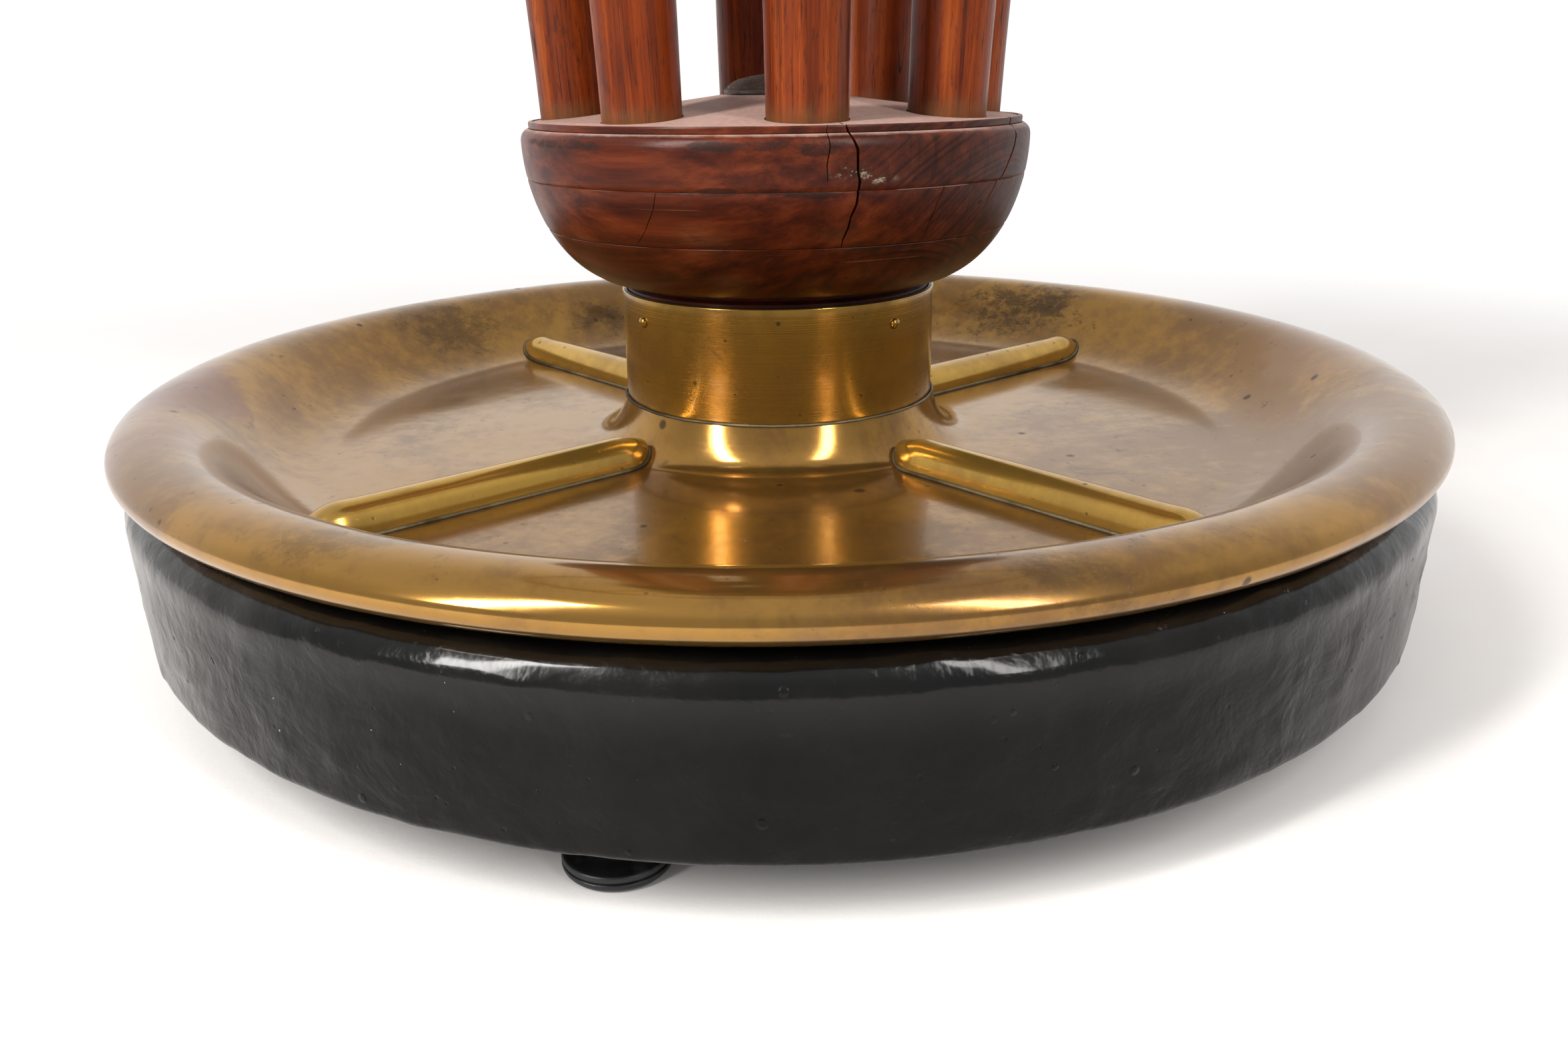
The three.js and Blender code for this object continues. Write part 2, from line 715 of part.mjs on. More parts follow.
// Crown: a turned cap with a socket for every rod, and a knob pegged into its top.
const crownRadius = rodReachAt(crownBottom) + crownEdge;
const crownOutline = [
  point(0, crownBottom),
  ...crownSide.map(([out, up]) => point(crownRadius + out, crownBottom + up)),
  point(crownRadius * crownDomeShare, crownTop - crownDomeDrop),
  point(knobFlangeRadius + crownTopLand, crownTop),
  point(0, crownTop),
];
const knobRoomFoot = crownTop - knobPegDepth - fitGap;
const knobRoom = solidOf(peg(knobPegRadius + fitGap, knobRoomFoot, crownTop + toolPast, knobFacets));
addPiece('crown', cut(turned(crownOutline, bodyFacets), [
  ...rodRoom(rodLength - crownSocketDepth - rodFootRadius, rodLength + fitGap),
  knobRoom,
]), redWood);

const knobFoot = crownTop + seatGap;
const knobTop = crownTop + knobHeight;
const knobBallCentre = knobTop - knobBallRadius;
const knobOutline = [
  point(0, crownTop - knobPegDepth),
  point(knobPegRadius, crownTop - knobPegDepth),
  point(knobPegRadius, knobFoot),
  point(knobFlangeRadius, knobFoot),
  ...knobFlangeSide.map(([out, up]) => point(knobFlangeRadius + out, knobFoot + up)),
  ...knobNeckSide.map(([out, up]) => point(knobNeckRadius + out, knobFoot + up)),
  ...arc(point(0, knobBallCentre), knobBallRadius, knobBallRadius, knobBallStart, 90, ballSteps),
];
knobOutline[knobOutline.length - 1].x = 0;
addPiece('knob', turned(knobOutline, knobFacets), redWood);

export default stand;
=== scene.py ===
import math

import bmesh
import bpy
import numpy as np
from mathutils import Matrix, Vector, noise


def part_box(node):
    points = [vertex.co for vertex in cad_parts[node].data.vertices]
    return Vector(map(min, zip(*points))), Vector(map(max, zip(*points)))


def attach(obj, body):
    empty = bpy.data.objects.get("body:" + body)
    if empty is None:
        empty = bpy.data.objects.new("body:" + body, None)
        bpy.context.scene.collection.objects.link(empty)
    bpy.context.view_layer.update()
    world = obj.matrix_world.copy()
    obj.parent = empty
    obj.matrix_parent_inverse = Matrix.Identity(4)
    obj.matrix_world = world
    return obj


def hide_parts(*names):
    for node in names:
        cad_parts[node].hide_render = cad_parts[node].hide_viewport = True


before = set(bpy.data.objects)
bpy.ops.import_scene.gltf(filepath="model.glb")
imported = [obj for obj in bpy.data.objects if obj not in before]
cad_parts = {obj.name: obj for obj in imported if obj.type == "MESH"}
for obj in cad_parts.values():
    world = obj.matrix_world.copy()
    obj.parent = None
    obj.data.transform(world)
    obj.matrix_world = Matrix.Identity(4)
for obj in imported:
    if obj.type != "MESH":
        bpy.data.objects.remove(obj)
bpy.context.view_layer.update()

mm = 0.001
front = -90.0  # the bearing 0 of the stand points to -Y


# A node's output, so that shader maths reads as maths
class Socket:
    def __init__(self, tree, plug):
        self.tree = tree
        self.plug = plug

    def maths(self, operation, first, second):
        node = self.tree.nodes.new("ShaderNodeMath")
        node.operation = operation
        for slot, value in zip(node.inputs, (first, second)):
            plugIn(self.tree, slot, value)
        return Socket(self.tree, node.outputs[0])

    def __add__(self, other):
        return self.maths("ADD", self, other)

    def __radd__(self, other):
        return self.maths("ADD", other, self)

    def __sub__(self, other):
        return self.maths("SUBTRACT", self, other)

    def __rsub__(self, other):
        return self.maths("SUBTRACT", other, self)

    def __mul__(self, other):
        return self.maths("MULTIPLY", self, other)

    def __rmul__(self, other):
        return self.maths("MULTIPLY", other, self)

    def __truediv__(self, other):
        return self.maths("DIVIDE", self, other)

    def __pow__(self, other):
        return self.maths("POWER", self, other)


def plugIn(tree, slot, value):
    if isinstance(value, Socket):
        tree.links.new(value.plug, slot)
    else:
        slot.default_value = value


def srgb(red, green, blue):
    def straight(c):
        c /= 255
        return c / 12.92 if c <= 0.04045 else ((c + 0.055) / 1.055) ** 2.4
    return (straight(red), straight(green), straight(blue), 1)


class Bench:
    def __init__(self, tree):
        self.tree = tree

    def node(self, kind, settings=None, inputs=None, out=0):
        made = self.tree.nodes.new(kind)
        for key, value in (settings or {}).items():
            if key == "stops":
                setStops(made.color_ramp, value)
            else:
                setattr(made, key, value)
        for key, value in (inputs or {}).items():
            plugIn(self.tree, made.inputs[key], value)
        return Socket(self.tree, made.outputs[out])

    def outs(self, socket, *names):
        return [Socket(self.tree, socket.plug.node.outputs[n]) for n in names]

    def between(self, value, low, high, start=0.0, end=1.0):
        return self.node("ShaderNodeMapRange", {"interpolation_type": "SMOOTHSTEP"}, {
            "Value": value, "From Min": low, "From Max": high, "To Min": start, "To Max": end})

    def blend(self, amount, first, second):
        return self.node("ShaderNodeMix", {"data_type": "RGBA"}, {0: amount, 6: first, 7: second}, out=2)


# A material under construction
class Finish(Bench):
    def __init__(self, name):
        self.material = bpy.data.materials.new(name)
        self.material.use_nodes = True
        super().__init__(self.material.node_tree)
        self.shader = self.tree.nodes["Principled BSDF"]
        self.place = self.node("ShaderNodeTexCoord", out="Object")

    def noise(self, place, scale, detail=3.0, rough=0.5, warp=0.0):
        return self.node("ShaderNodeTexNoise", {}, {
            "Vector": place, "Scale": scale, "Detail": detail, "Roughness": rough, "Distortion": warp})

    def mapped(self, place, scale=(1, 1, 1), turn=(0, 0, 0), move=(0, 0, 0)):
        return self.node("ShaderNodeMapping", {}, {
            "Vector": place, "Scale": scale, "Rotation": turn, "Location": move})

    def tint(self, amount, first, second, mode="MULTIPLY"):
        settings = {"data_type": "RGBA", "blend_type": mode}
        return self.node("ShaderNodeMix", settings, {0: amount, 6: first, 7: second}, out=2)

    # Round specks: that share of the cells of a random pattern hold one, up to that size
    def spots(self, place, scale, size, share):
        cell = self.node("ShaderNodeTexVoronoi", {}, {"Vector": place, "Scale": scale, "Randomness": 1.0})
        parts = self.node("ShaderNodeSeparateColor", {}, {"Color": self.outs(cell, "Color")[0]})
        there = self.node("ShaderNodeMath", {"operation": "GREATER_THAN"}, {0: parts, 1: 1 - share})
        reach = self.outs(parts, "Green")[0] * size + 0.01
        return self.between(cell, reach, reach * 0.45) * there

    # Thin wandering lines where a noise crosses its middle
    def hairlines(self, place, scale, width):
        field = self.noise(place, scale, 1.0, 0.5, 0.6)
        return self.between((field - 0.5) ** 2, width * width, 0.0)

    # The upward part of a place or a normal
    def rise(self, vector):
        return self.outs(self.node("ShaderNodeSeparateXYZ", {}, {"Vector": vector}), "Z")[0]

    # How near a place is to a point, with a reach along each axis: 1 at the point, 0 past the reach
    def near(self, place, centre, reach):
        scale = tuple(1 / r for r in reach)
        move = tuple(-c / r for c, r in zip(centre, reach))
        off = self.node("ShaderNodeVectorMath", {"operation": "LENGTH"},
                        {0: self.mapped(place, scale, move=move)}, out="Value")
        return self.between(off, 1.0, 0.2)

    def clamp(self, value):
        return self.node("ShaderNodeClamp", {}, {"Value": value})

    def bump(self, height, strength, distance, under=None):
        inputs = {"Strength": strength, "Distance": distance, "Height": height}
        if under is not None:
            inputs["Normal"] = under
        return self.node("ShaderNodeBump", {}, inputs)

    def surface(self, **values):
        for key, value in values.items():
            plugIn(self.tree, self.shader.inputs[key.replace("_", " ")], value)
        return self.material


def setStops(ramp, stops):
    while len(ramp.elements) < len(stops):
        ramp.elements.new(0.5)
    for element, (position, colour) in zip(ramp.elements, stops):
        element.position = position
        element.color = colour


# The direction of a bearing, counted from the front towards +X
def bearing(degrees):
    angle = math.radians(degrees + front)
    return Vector((math.cos(angle), math.sin(angle), 0))


def spot(direction, radius, height):
    place = bearing(direction) * radius * mm
    return (place.x, place.y, height * mm)


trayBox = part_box("tray")
rimTop = trayBox[1].z
trayReach = trayBox[1].x
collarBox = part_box("collar")
collarRadius = collarBox[1].x
hubRise = 5.5 * mm  # from the tray's lower edge up to its hub
trayDepth = 14 * mm  # from its lower edge down to its floor
coneRise = 9 * mm  # the low cone on top of the block
edgeHeight = collarBox[0].z - hubRise
floorHeight = edgeHeight - trayDepth
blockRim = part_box("block_upper_board")[1].z - coneRise
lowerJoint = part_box("block_middle_board")[0].z
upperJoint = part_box("block_upper_board")[0].z
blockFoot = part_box("block_lower_board")[0].z
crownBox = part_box("crown")


# Old brass: a satin metal under a thin clear brown film, with stains, specks, pits and scratches
def brassFinish(name, look):
    f = Finish(name)
    p = f.place
    cloud = f.noise(p, look["cloud"], 6.0, 0.65, 0.8)
    fine = f.noise(p, 95.0, 6.0, 0.72)
    height = f.rise(p)
    flat = f.node("ShaderNodeVectorMath", {"operation": "MULTIPLY"}, {0: p, 1: (1, 1, 0)})
    radius = f.node("ShaderNodeVectorMath", {"operation": "LENGTH"}, {0: flat}, out="Value")
    lathe = f.node("ShaderNodeCombineXYZ", {}, {"X": radius * 1000, "Y": height * 1000, "Z": 0.0})
    turning = f.noise(lathe, 1.6, 3.0, 0.6)
    bloom = f.between(cloud + (fine - 0.5) * 0.45, 0.38, 0.64)
    colour = f.blend(bloom * look["bloom"], look["bright"], look["brown"])
    smear = f.between(f.noise(p, 13.0, 9.0, 0.78, 1.0), 0.5, 0.72)
    colour = f.blend(smear * look["smear"], colour, look["smearColour"])
    wipe = f.between(f.noise(f.mapped(p, (1, 1, 3), move=(3, 1, 0)), 24.0, 7.0, 0.78, 0.6), 0.6, 0.68)
    stain = wipe * look["stain"]
    crumbs = f.noise(f.mapped(p, (1, 1, 1.6)), 65.0, 10.0, 0.85)
    for centre, reach, amount in look["stains"]:
        worn = f.near(p, centre, reach) * 0.9 + (crumbs - 0.53) * 4.0
        stain = stain + f.between(worn, 0.3, 0.95) * amount
    stain = f.clamp(stain)
    colour = f.blend(stain, colour, look["dark"])
    edge = f.noise(p, 30.0, 6.0, 0.7, 0.8)
    for centre, reach, amount, tone in look["patches"]:
        rubbed = f.near(p, centre, reach) + (edge - 0.5) * 1.6
        colour = f.blend(f.between(rubbed, 0.3, 0.7) * amount, colour, tone)
    specks = f.spots(p, 62.0, 0.2, 0.17)
    pits = f.spots(p, 230.0, 0.3, 0.16)
    dirt = f.between(f.noise(p, 150.0, 6.0, 0.8), 0.6, 0.7) * f.between(f.noise(p, 9.0, 4.0, 0.6), 0.48, 0.66)
    dots = f.spots(p, 24.0, 0.11, 0.17)
    marks = f.clamp(specks * look["specks"] + pits * look["pits"] + dots * look["specks"] + dirt * 0.55)
    colour = f.blend(marks, colour, look["dark"])
    scratch = f.hairlines(f.mapped(p, (1, 2.3, 1), (0.3, 0.2, 0.7)), 34.0, 0.0055)
    crossing = f.hairlines(f.mapped(p, (2.6, 1, 1.3), (0.1, 0.5, 2.1)), 27.0, 0.0045)
    scratches = f.clamp(scratch + crossing) * f.between(cloud, 0.35, 0.6)
    colour = f.blend(scratches * 0.07, colour, look["bright"])
    rough = look["rough"] + bloom * 0.09 + marks * 0.25 + stain * 0.15
    rough = rough + (turning - 0.5) * look["turning"] * 0.5
    relief = f.bump(turning, 0.12, look["turning"] * 0.0006)
    relief = f.bump(f.noise(p, 30.0, 3.0, 0.5), look["beaten"], 0.0006, relief)
    relief = f.bump(1 - marks - scratches * 0.06, 0.35, 0.00012, relief)
    film = look["film"] * (1 - marks * 0.7 - stain * 0.3)
    f.surface(Base_Color=colour, Roughness=rough, Normal=relief, Coat_Weight=film)
    return f.surface(Metallic=look["metal"], Coat_Roughness=look["filmRough"])


# Straight-grained stained wood: the first axis of grainPlace runs along the fibres
def woodColour(f, grainPlace, seedPlace, look):
    streak = f.noise(f.mapped(grainPlace, (3.0, 150.0, 150.0)), 1.0, 5.0, 0.62, 0.25)
    fibre = f.noise(f.mapped(grainPlace, (22.0, 900.0, 900.0)), 1.0, 3.0, 0.6)
    patch = f.noise(seedPlace, 17.0, 5.0, 0.6, 0.7)
    pore = f.noise(f.mapped(grainPlace, (60.0, 1500.0, 1500.0), move=(3.1, 0.2, 0.9)), 1.0, 2.0, 0.5)
    tone = f.between(streak * 0.75 + patch * 0.25, 0.3, 0.68)
    colour = f.node("ShaderNodeValToRGB", {"stops": look["tones"]}, {"Fac": tone})
    pores = f.between(pore, 0.62, 0.74)
    lines = f.between(fibre, 0.5, 0.72)
    colour = f.tint(lines * look["lines"], colour, (0.4, 0.32, 0.28, 1))
    colour = f.tint(pores * look["pores"], colour, (0.2, 0.15, 0.13, 1))
    return colour, streak, pores, lines


# Stained board with its fibres level: long grain on two sides, growth rings on the other two
def blockFinish(name, look):
    f = Finish(name)
    p = f.place
    along = f.mapped(p, turn=(0, 0, math.radians(90 - look["fibreBearing"])))
    warp = f.noise(along, 9.0, 3.0, 0.5)
    across, up = f.outs(f.node("ShaderNodeSeparateXYZ", {}, {"Vector": along}), "Y", "Z")
    far = ((across - look["pith"][0]) ** 2 + (up - look["pith"][1]) ** 2) ** 0.5
    ring = (far + (warp - 0.5) * 0.01) * look["ringsPerMetre"]
    rings = f.noise(f.node("ShaderNodeCombineXYZ", {}, {"X": ring, "Y": 0.0, "Z": 0.0}), 1.0, 2.0, 0.6)
    rays = f.noise(f.mapped(along, (60.0, 420.0, 12.0)), 1.0, 4.0, 0.65)
    colour, streak, pores, _ = woodColour(f, along, p, look)
    normal = f.node("ShaderNodeNewGeometry", out="Normal")
    fibre = math.radians(look["fibreBearing"] + front)
    facing = f.node("ShaderNodeVectorMath", {"operation": "DOT_PRODUCT"},
                    {0: normal, 1: (math.cos(fibre), math.sin(fibre), 0)}, out="Value")
    endGrain = f.between(facing * facing, 0.4, 0.75)
    ringLine = f.between(rings, 0.46, 0.6)
    colour = f.blend(endGrain * 0.5, colour, look["endColour"])
    colour = f.tint(ringLine * (0.2 + endGrain * 0.8) * look["rings"], colour, (0.3, 0.26, 0.27, 1))
    colour = f.tint(f.between(rays, 0.52, 0.7) * endGrain * 0.7, colour, (0.35, 0.33, 0.36, 1))
    # Painted shade: the wood is darkened towards the block's foot, and most of all on the neck below it,
    # standing in for the shade under the bowl
    low = f.between(f.rise(p), blockFoot + 36 * mm, blockFoot)
    colour = f.tint(low * look["paintedFootShade"], colour, (0.3, 0.22, 0.22, 1))
    black = f.between(f.noise(f.mapped(p, (1, 1, 2.4)), 30.0, 8.0, 0.74, 1.0), 0.6, 0.7)
    black = f.clamp(black * look["grime"] + f.spots(f.mapped(p, (1, 1, 1.8)), 75.0, 0.24, 0.1) * 0.7)
    crumbs = f.noise(f.mapped(p, (1, 1, 2)), 55.0, 8.0, 0.8)
    for centre, reach in look["grimeBands"]:
        band = f.near(p, centre, reach) + (crumbs - 0.55) * 3
        black = f.clamp(black + f.between(band, 0.5, 0.9) * 0.9)
    colour = f.blend(black * 0.85, colour, srgb(34, 18, 13))
    rubbed = f.between(f.noise(p, 34.0, 8.0, 0.76, 0.3), 0.52, 0.74)
    colour = f.blend(rubbed * look["rubbed"], colour, srgb(140, 66, 30))
    chalk = f.between(f.noise(f.mapped(p, (1, 1, 2)), 190.0, 6.0, 0.8), 0.53, 0.6)
    for centre, reach in look["scuffs"]:
        scuff = f.near(p, centre, reach) * chalk
        colour = f.blend(scuff * 0.9, colour, srgb(150, 142, 122))
    scratch = f.between(f.noise(f.mapped(p, (15, 15, 420), (0.5, 0.3, 0.2)), 1.0, 2.0, 0.5), 0.7, 0.76)
    colour = f.blend(scratch * 0.25, colour, srgb(150, 92, 52))
    facingUp = f.rise(normal)
    dustNoise = f.noise(p, 70.0, 7.0, 0.7)
    fluff = f.noise(p, 380.0, 3.0, 0.6)
    dust = f.between(facingUp + (dustNoise - 0.5) * 0.4, 0.72, 1.0) * look["dust"]
    dust = f.clamp(dust * (0.65 + fluff * 0.7))
    colour = f.blend(dust, colour, srgb(186, 154, 142))
    rough = 0.33 + (dustNoise - 0.5) * 0.26 + dust * 0.5 + black * 0.2 + endGrain * 0.12
    relief = f.bump(streak, 0.2, 0.0004)
    relief = f.bump(1 - pores - black * 0.6 - rays * endGrain * 0.5, 0.3, 0.0002, relief)
    relief = f.bump(f.noise(p, 55.0, 4.0, 0.6), 0.25, 0.0005, relief)
    relief = f.bump(dust * fluff, 0.6, 0.0004, relief)
    f.surface(Base_Color=colour, Roughness=rough, Normal=relief)
    return f.surface(Coat_Weight=look["wax"], Coat_Roughness=0.3, Specular_IOR_Level=0.14)


# Varnished rods: the grain attribute keeps each rod's fibres along its own length
def rodFinish(name, look):
    f = Finish(name)
    local = f.node("ShaderNodeAttribute", {"attribute_name": "grain"}, out="Vector")
    copy = f.node("ShaderNodeAttribute", {"attribute_name": "copy"}, out="Fac")
    shift = f.node("ShaderNodeCombineXYZ", {}, {"X": copy * 3.7, "Y": copy * 1.3, "Z": copy * 5.1})
    own = f.node("ShaderNodeVectorMath", {"operation": "ADD"}, {0: local, 1: shift})
    along = f.mapped(own, turn=(0, math.radians(90), 0))
    colour, streak, pores, lines = woodColour(f, along, own, look)
    long = f.noise(f.mapped(own, (120.0, 120.0, 4.0), move=(0.4, 1.7, 0)), 1.0, 4.0, 0.65, 0.3)
    dark = f.between(long, 0.56, 0.72)
    colour = f.blend(dark * look["streaks"], colour, srgb(48, 20, 12))
    check = f.hairlines(f.mapped(own, (1, 1, 0.06), move=(2.1, 0, 0.3)), 95.0, 0.01)
    cracked = check * f.between(f.noise(own, 30.0, 2.0), 0.52, 0.64)
    colour = f.blend(cracked * 0.85, colour, srgb(22, 10, 6))
    flecks = f.between(f.noise(f.mapped(own, (760.0, 760.0, 110.0)), 1.0, 3.0, 0.6), 0.56, 0.68)
    colour = f.blend(flecks * 0.5, colour, srgb(38, 15, 8))
    blotch = f.between(f.noise(own, 48.0, 6.0, 0.7, 0.9), 0.56, 0.72)
    colour = f.blend(blotch * 0.5, colour, srgb(62, 27, 15))
    height = f.rise(local)
    grit = f.noise(own, 120.0, 6.0, 0.7)
    foot = f.between(height + (grit - 0.5) * 0.014, 0.011, 0.0)
    colour = f.blend(foot * 0.6, colour, srgb(104, 72, 40))
    rough = 0.34 + (grit - 0.5) * 0.2 + foot * 0.3 + cracked * 0.2 + flecks * 0.1
    relief = f.bump(streak, 0.3, 0.0005)
    relief = f.bump(1 - pores * 0.6 - cracked - lines * 0.2 - flecks * 0.4, 0.45, 0.0003, relief)
    relief = f.bump(f.noise(own, 40.0, 3.0, 0.5), 0.25, 0.0007, relief)
    f.surface(Base_Color=colour, Roughness=rough, Normal=relief)
    return f.surface(Coat_Weight=0.08, Coat_Roughness=0.3, Specular_IOR_Level=0.16)


def paintFinish(name):
    f = Finish(name)
    p = f.place
    peel = f.noise(p, 150.0, 3.0, 0.55, 0.1)
    lumps = f.noise(p, 42.0, 4.0, 0.6, 0.4)
    runs = f.noise(f.mapped(p, (1, 1, 0.8)), 75.0, 3.0, 0.55, 0.3)
    grit = f.spots(p, 160.0, 0.34, 0.14)
    pin = f.spots(p, 300.0, 0.3, 0.1)
    tone = f.between(f.noise(p, 16.0, 6.0, 0.7), 0.35, 0.7)
    colour = f.blend(tone, srgb(12, 12, 12), srgb(21, 20, 18))
    dusty = f.spots(p, 110.0, 0.06, 0.2)
    colour = f.blend(dusty * 0.8, colour, srgb(170, 160, 150))
    scuff = f.between(f.noise(f.mapped(p, (1, 1, 3)), 60.0, 8.0, 0.75), 0.64, 0.72)
    colour = f.blend(scuff * 0.3, colour, srgb(60, 57, 54))
    rough = 0.17 + tone * 0.12 + scuff * 0.25 + pin * 0.2 + dusty * 0.4
    relief = f.bump(lumps, 0.5, 0.002)
    relief = f.bump(runs, 0.3, 0.0009, relief)
    relief = f.bump(peel, 0.4, 0.0006, relief)
    relief = f.bump(grit - pin * 0.7, 0.7, 0.0005, relief)
    height = f.rise(p)
    shine = f.between(height, 0.058, 0.086) * 0.4  # hands keep the shoulder polished
    f.surface(Base_Color=colour, Roughness=rough, Normal=relief, Coat_Weight=shine)
    return f.surface(Specular_IOR_Level=0.12, Coat_Roughness=0.1)


def solderFinish(name):
    f = Finish(name)
    p = f.place
    grain = f.noise(p, 420.0, 5.0, 0.7)
    patch = f.noise(p, 26.0, 4.0, 0.6)
    dirt = f.between(patch, 0.42, 0.62)
    colour = f.blend(dirt, srgb(112, 102, 80), srgb(56, 46, 32))
    colour = f.blend(f.between(grain, 0.5, 0.75) * 0.7, colour, srgb(92, 82, 58))
    relief = f.bump(grain, 0.5, 0.0004)
    f.surface(Base_Color=colour, Roughness=0.42 + dirt * 0.2, Normal=relief)
    return f.surface(Metallic=0.6)


def steelFinish(name, dustiness):
    f = Finish(name)
    p = f.place
    rust = f.between(f.noise(p, 120.0, 7.0, 0.72), 0.46, 0.68)
    fluff = f.noise(p, 520.0, 5.0, 0.75)
    colour = f.blend(rust, srgb(120, 114, 106), srgb(74, 50, 36))
    normal = f.node("ShaderNodeNewGeometry", out="Normal")
    up = f.rise(normal)
    lint = f.between(up + (fluff - 0.5) * 0.9, 0.1, 0.7) * dustiness
    colour = f.blend(lint, colour, f.blend(fluff, srgb(52, 36, 30), srgb(104, 80, 68)))
    relief = f.bump(fluff, 0.3 + 0.7 * dustiness, 0.0006 + 0.002 * dustiness)
    f.surface(Base_Color=colour, Roughness=0.4 + lint * 0.5, Normal=relief)
    return f.surface(Metallic=(1 - lint) * 0.9)


def rubberFinish(name):
    f = Finish(name)
    p = f.place
    grain = f.noise(p, 300.0, 4.0, 0.6)
    dust = f.between(f.noise(p, 60.0, 5.0, 0.6), 0.52, 0.7)
    colour = f.blend(dust * 0.5, srgb(17, 16, 19), srgb(58, 55, 56))
    relief = f.bump(grain, 0.3, 0.0003)
    f.surface(Base_Color=colour, Roughness=0.3 + grain * 0.2 + dust * 0.2, Normal=relief)
    return f.surface(Specular_IOR_Level=0.5)


def floorFinish(name):
    f = Finish(name)
    p = f.place
    scuff = f.between(f.noise(p, 5.0, 6.0, 0.65), 0.4, 0.7)
    grit = f.spots(p, 9.0, 0.02, 0.2)
    colour = f.blend(scuff * 0.35, srgb(243, 240, 238), srgb(236, 230, 227))
    colour = f.blend(grit * 0.6, colour, srgb(120, 100, 90))
    relief = f.bump(f.noise(p, 260.0, 3.0, 0.6), 0.15, 0.0006)
    far = f.node("ShaderNodeVectorMath", {"operation": "LENGTH"}, {0: p}, out="Value")
    f.surface(Base_Color=colour, Roughness=0.62 + scuff * 0.1, Normal=relief, Alpha=f.between(far, 1.25, 0.6))
    return f.surface(Specular_IOR_Level=0.25)


# the places of stains and rubbed patches: centre, reach and amount
goldLook = {
    "bright": (0.35, 0.185, 0.039, 1), "brown": (0.185, 0.092, 0.029, 1), "dark": (0.035, 0.022, 0.014, 1),
    "smearColour": (0.24, 0.138, 0.06, 1), "cloud": 7.0, "bloom": 0.85, "smear": 0.4, "stain": 0.3,
    "specks": 0.8, "pits": 0.35, "rough": 0.13, "turning": 0.12, "metal": 0.85, "film": 0.24,
    "filmRough": 0.05,
    "beaten": 0.35,
    "stains": [
        (spot(28, 232, 92), (0.075, 0.075, 0.03), 0.5), (spot(142, 236, 94), (0.085, 0.05, 0.03), 0.75),
        (spot(-128, 240, 96), (0.07, 0.05, 0.03), 0.5), (spot(-152, 228, 90), (0.05, 0.03, 0.02), 0.6),
        (spot(-28, 262, 106), (0.05, 0.02, 0.02), 0.35), (spot(16, 270, 100), (0.04, 0.02, 0.02), 0.4)],
    "patches": [
        (spot(-80, 270, 100), (0.05, 0.075, 0.04), 0.8, (0.2, 0.085, 0.05, 1)),
        (spot(-64, 268, 104), (0.04, 0.05, 0.03), 0.5, (0.25, 0.115, 0.06, 1)),
        (spot(92, 262, 104), (0.06, 0.07, 0.03), 0.5, (0.26, 0.15, 0.085, 1))],
}
ribLook = dict(
    goldLook, bright=(0.56, 0.335, 0.06, 1), bloom=0.4, smear=0.15, stain=0.2, pits=0.7, rough=0.16, film=0.3,
    stains=[], patches=[])
collarLook = dict(
    goldLook, bright=(0.4, 0.225, 0.036, 1), brown=(0.21, 0.115, 0.024, 1), bloom=0.65, smear=0.12,
    stain=0.35, pits=0.8, rough=0.18, turning=0.5, cloud=16.0, film=0.25, stains=[], patches=[])

redTones = [
    (0.0, srgb(52, 18, 9)), (0.4, srgb(76, 29, 13)), (0.72, srgb(93, 38, 17)), (1.0, srgb(110, 50, 24))]
blockLook = {
    "tones": redTones, "lines": 0.25, "pores": 0.35, "fibreBearing": 58.0, "pith": (0.0, 0.13),
    "ringsPerMetre": 420.0, "rings": 0.75, "grime": 0.5, "rubbed": 0.1, "dust": 0.85, "wax": 0.08,
    "endColour": srgb(58, 31, 24), "paintedFootShade": 0.75, "grimeBands": [], "scuffs": [],
}
upperLook = dict(
    blockLook, paintedFootShade=0.0,
    scuffs=[(spot(15, 109, 196.5), (0.012, 0.03, 0.0035)), (spot(20, 109, 194), (0.009, 0.03, 0.0025))],
    grimeBands=[
        (spot(-5, 108, 206), (0.045, 0.04, 0.004)), (spot(-50, 108, 206), (0.06, 0.06, 0.004)),
        (spot(8, 108, 205), (0.02, 0.03, 0.005)), (spot(-10, 108, 190.5), (0.05, 0.03, 0.0022))])
middleLook = dict(
    blockLook, fibreBearing=66.0, pith=(0.03, 0.12),
    grimeBands=[
        (spot(-12, 107, 190), (0.075, 0.04, 0.0022)), (spot(10, 107, 189), (0.03, 0.03, 0.003))])
lowerLook = dict(blockLook, fibreBearing=47.0, pith=(-0.03, 0.08), dust=0.2)
neckLook = dict(blockLook, fibreBearing=65.0, rubbed=0.05, dust=0.0, paintedFootShade=0.85)
crownLook = dict(blockLook, fibreBearing=20.0, pith=(0.02, 0.6), paintedFootShade=0.0, dust=0.12)
spreaderLook = dict(blockLook, fibreBearing=100.0, pith=(0.03, 0.4), paintedFootShade=0.0, dust=0.4)
knobLook = dict(blockLook, fibreBearing=30.0, pith=(0.0, 0.7), paintedFootShade=0.0, dust=0.1, rubbed=0.3)
rodTones = [
    (0.0, srgb(78, 28, 8)), (0.4, srgb(110, 43, 11)), (0.7, srgb(130, 54, 15)), (1.0, srgb(150, 72, 26))]
rodLook = {"tones": rodTones, "lines": 0.6, "pores": 0.6, "streaks": 0.75}

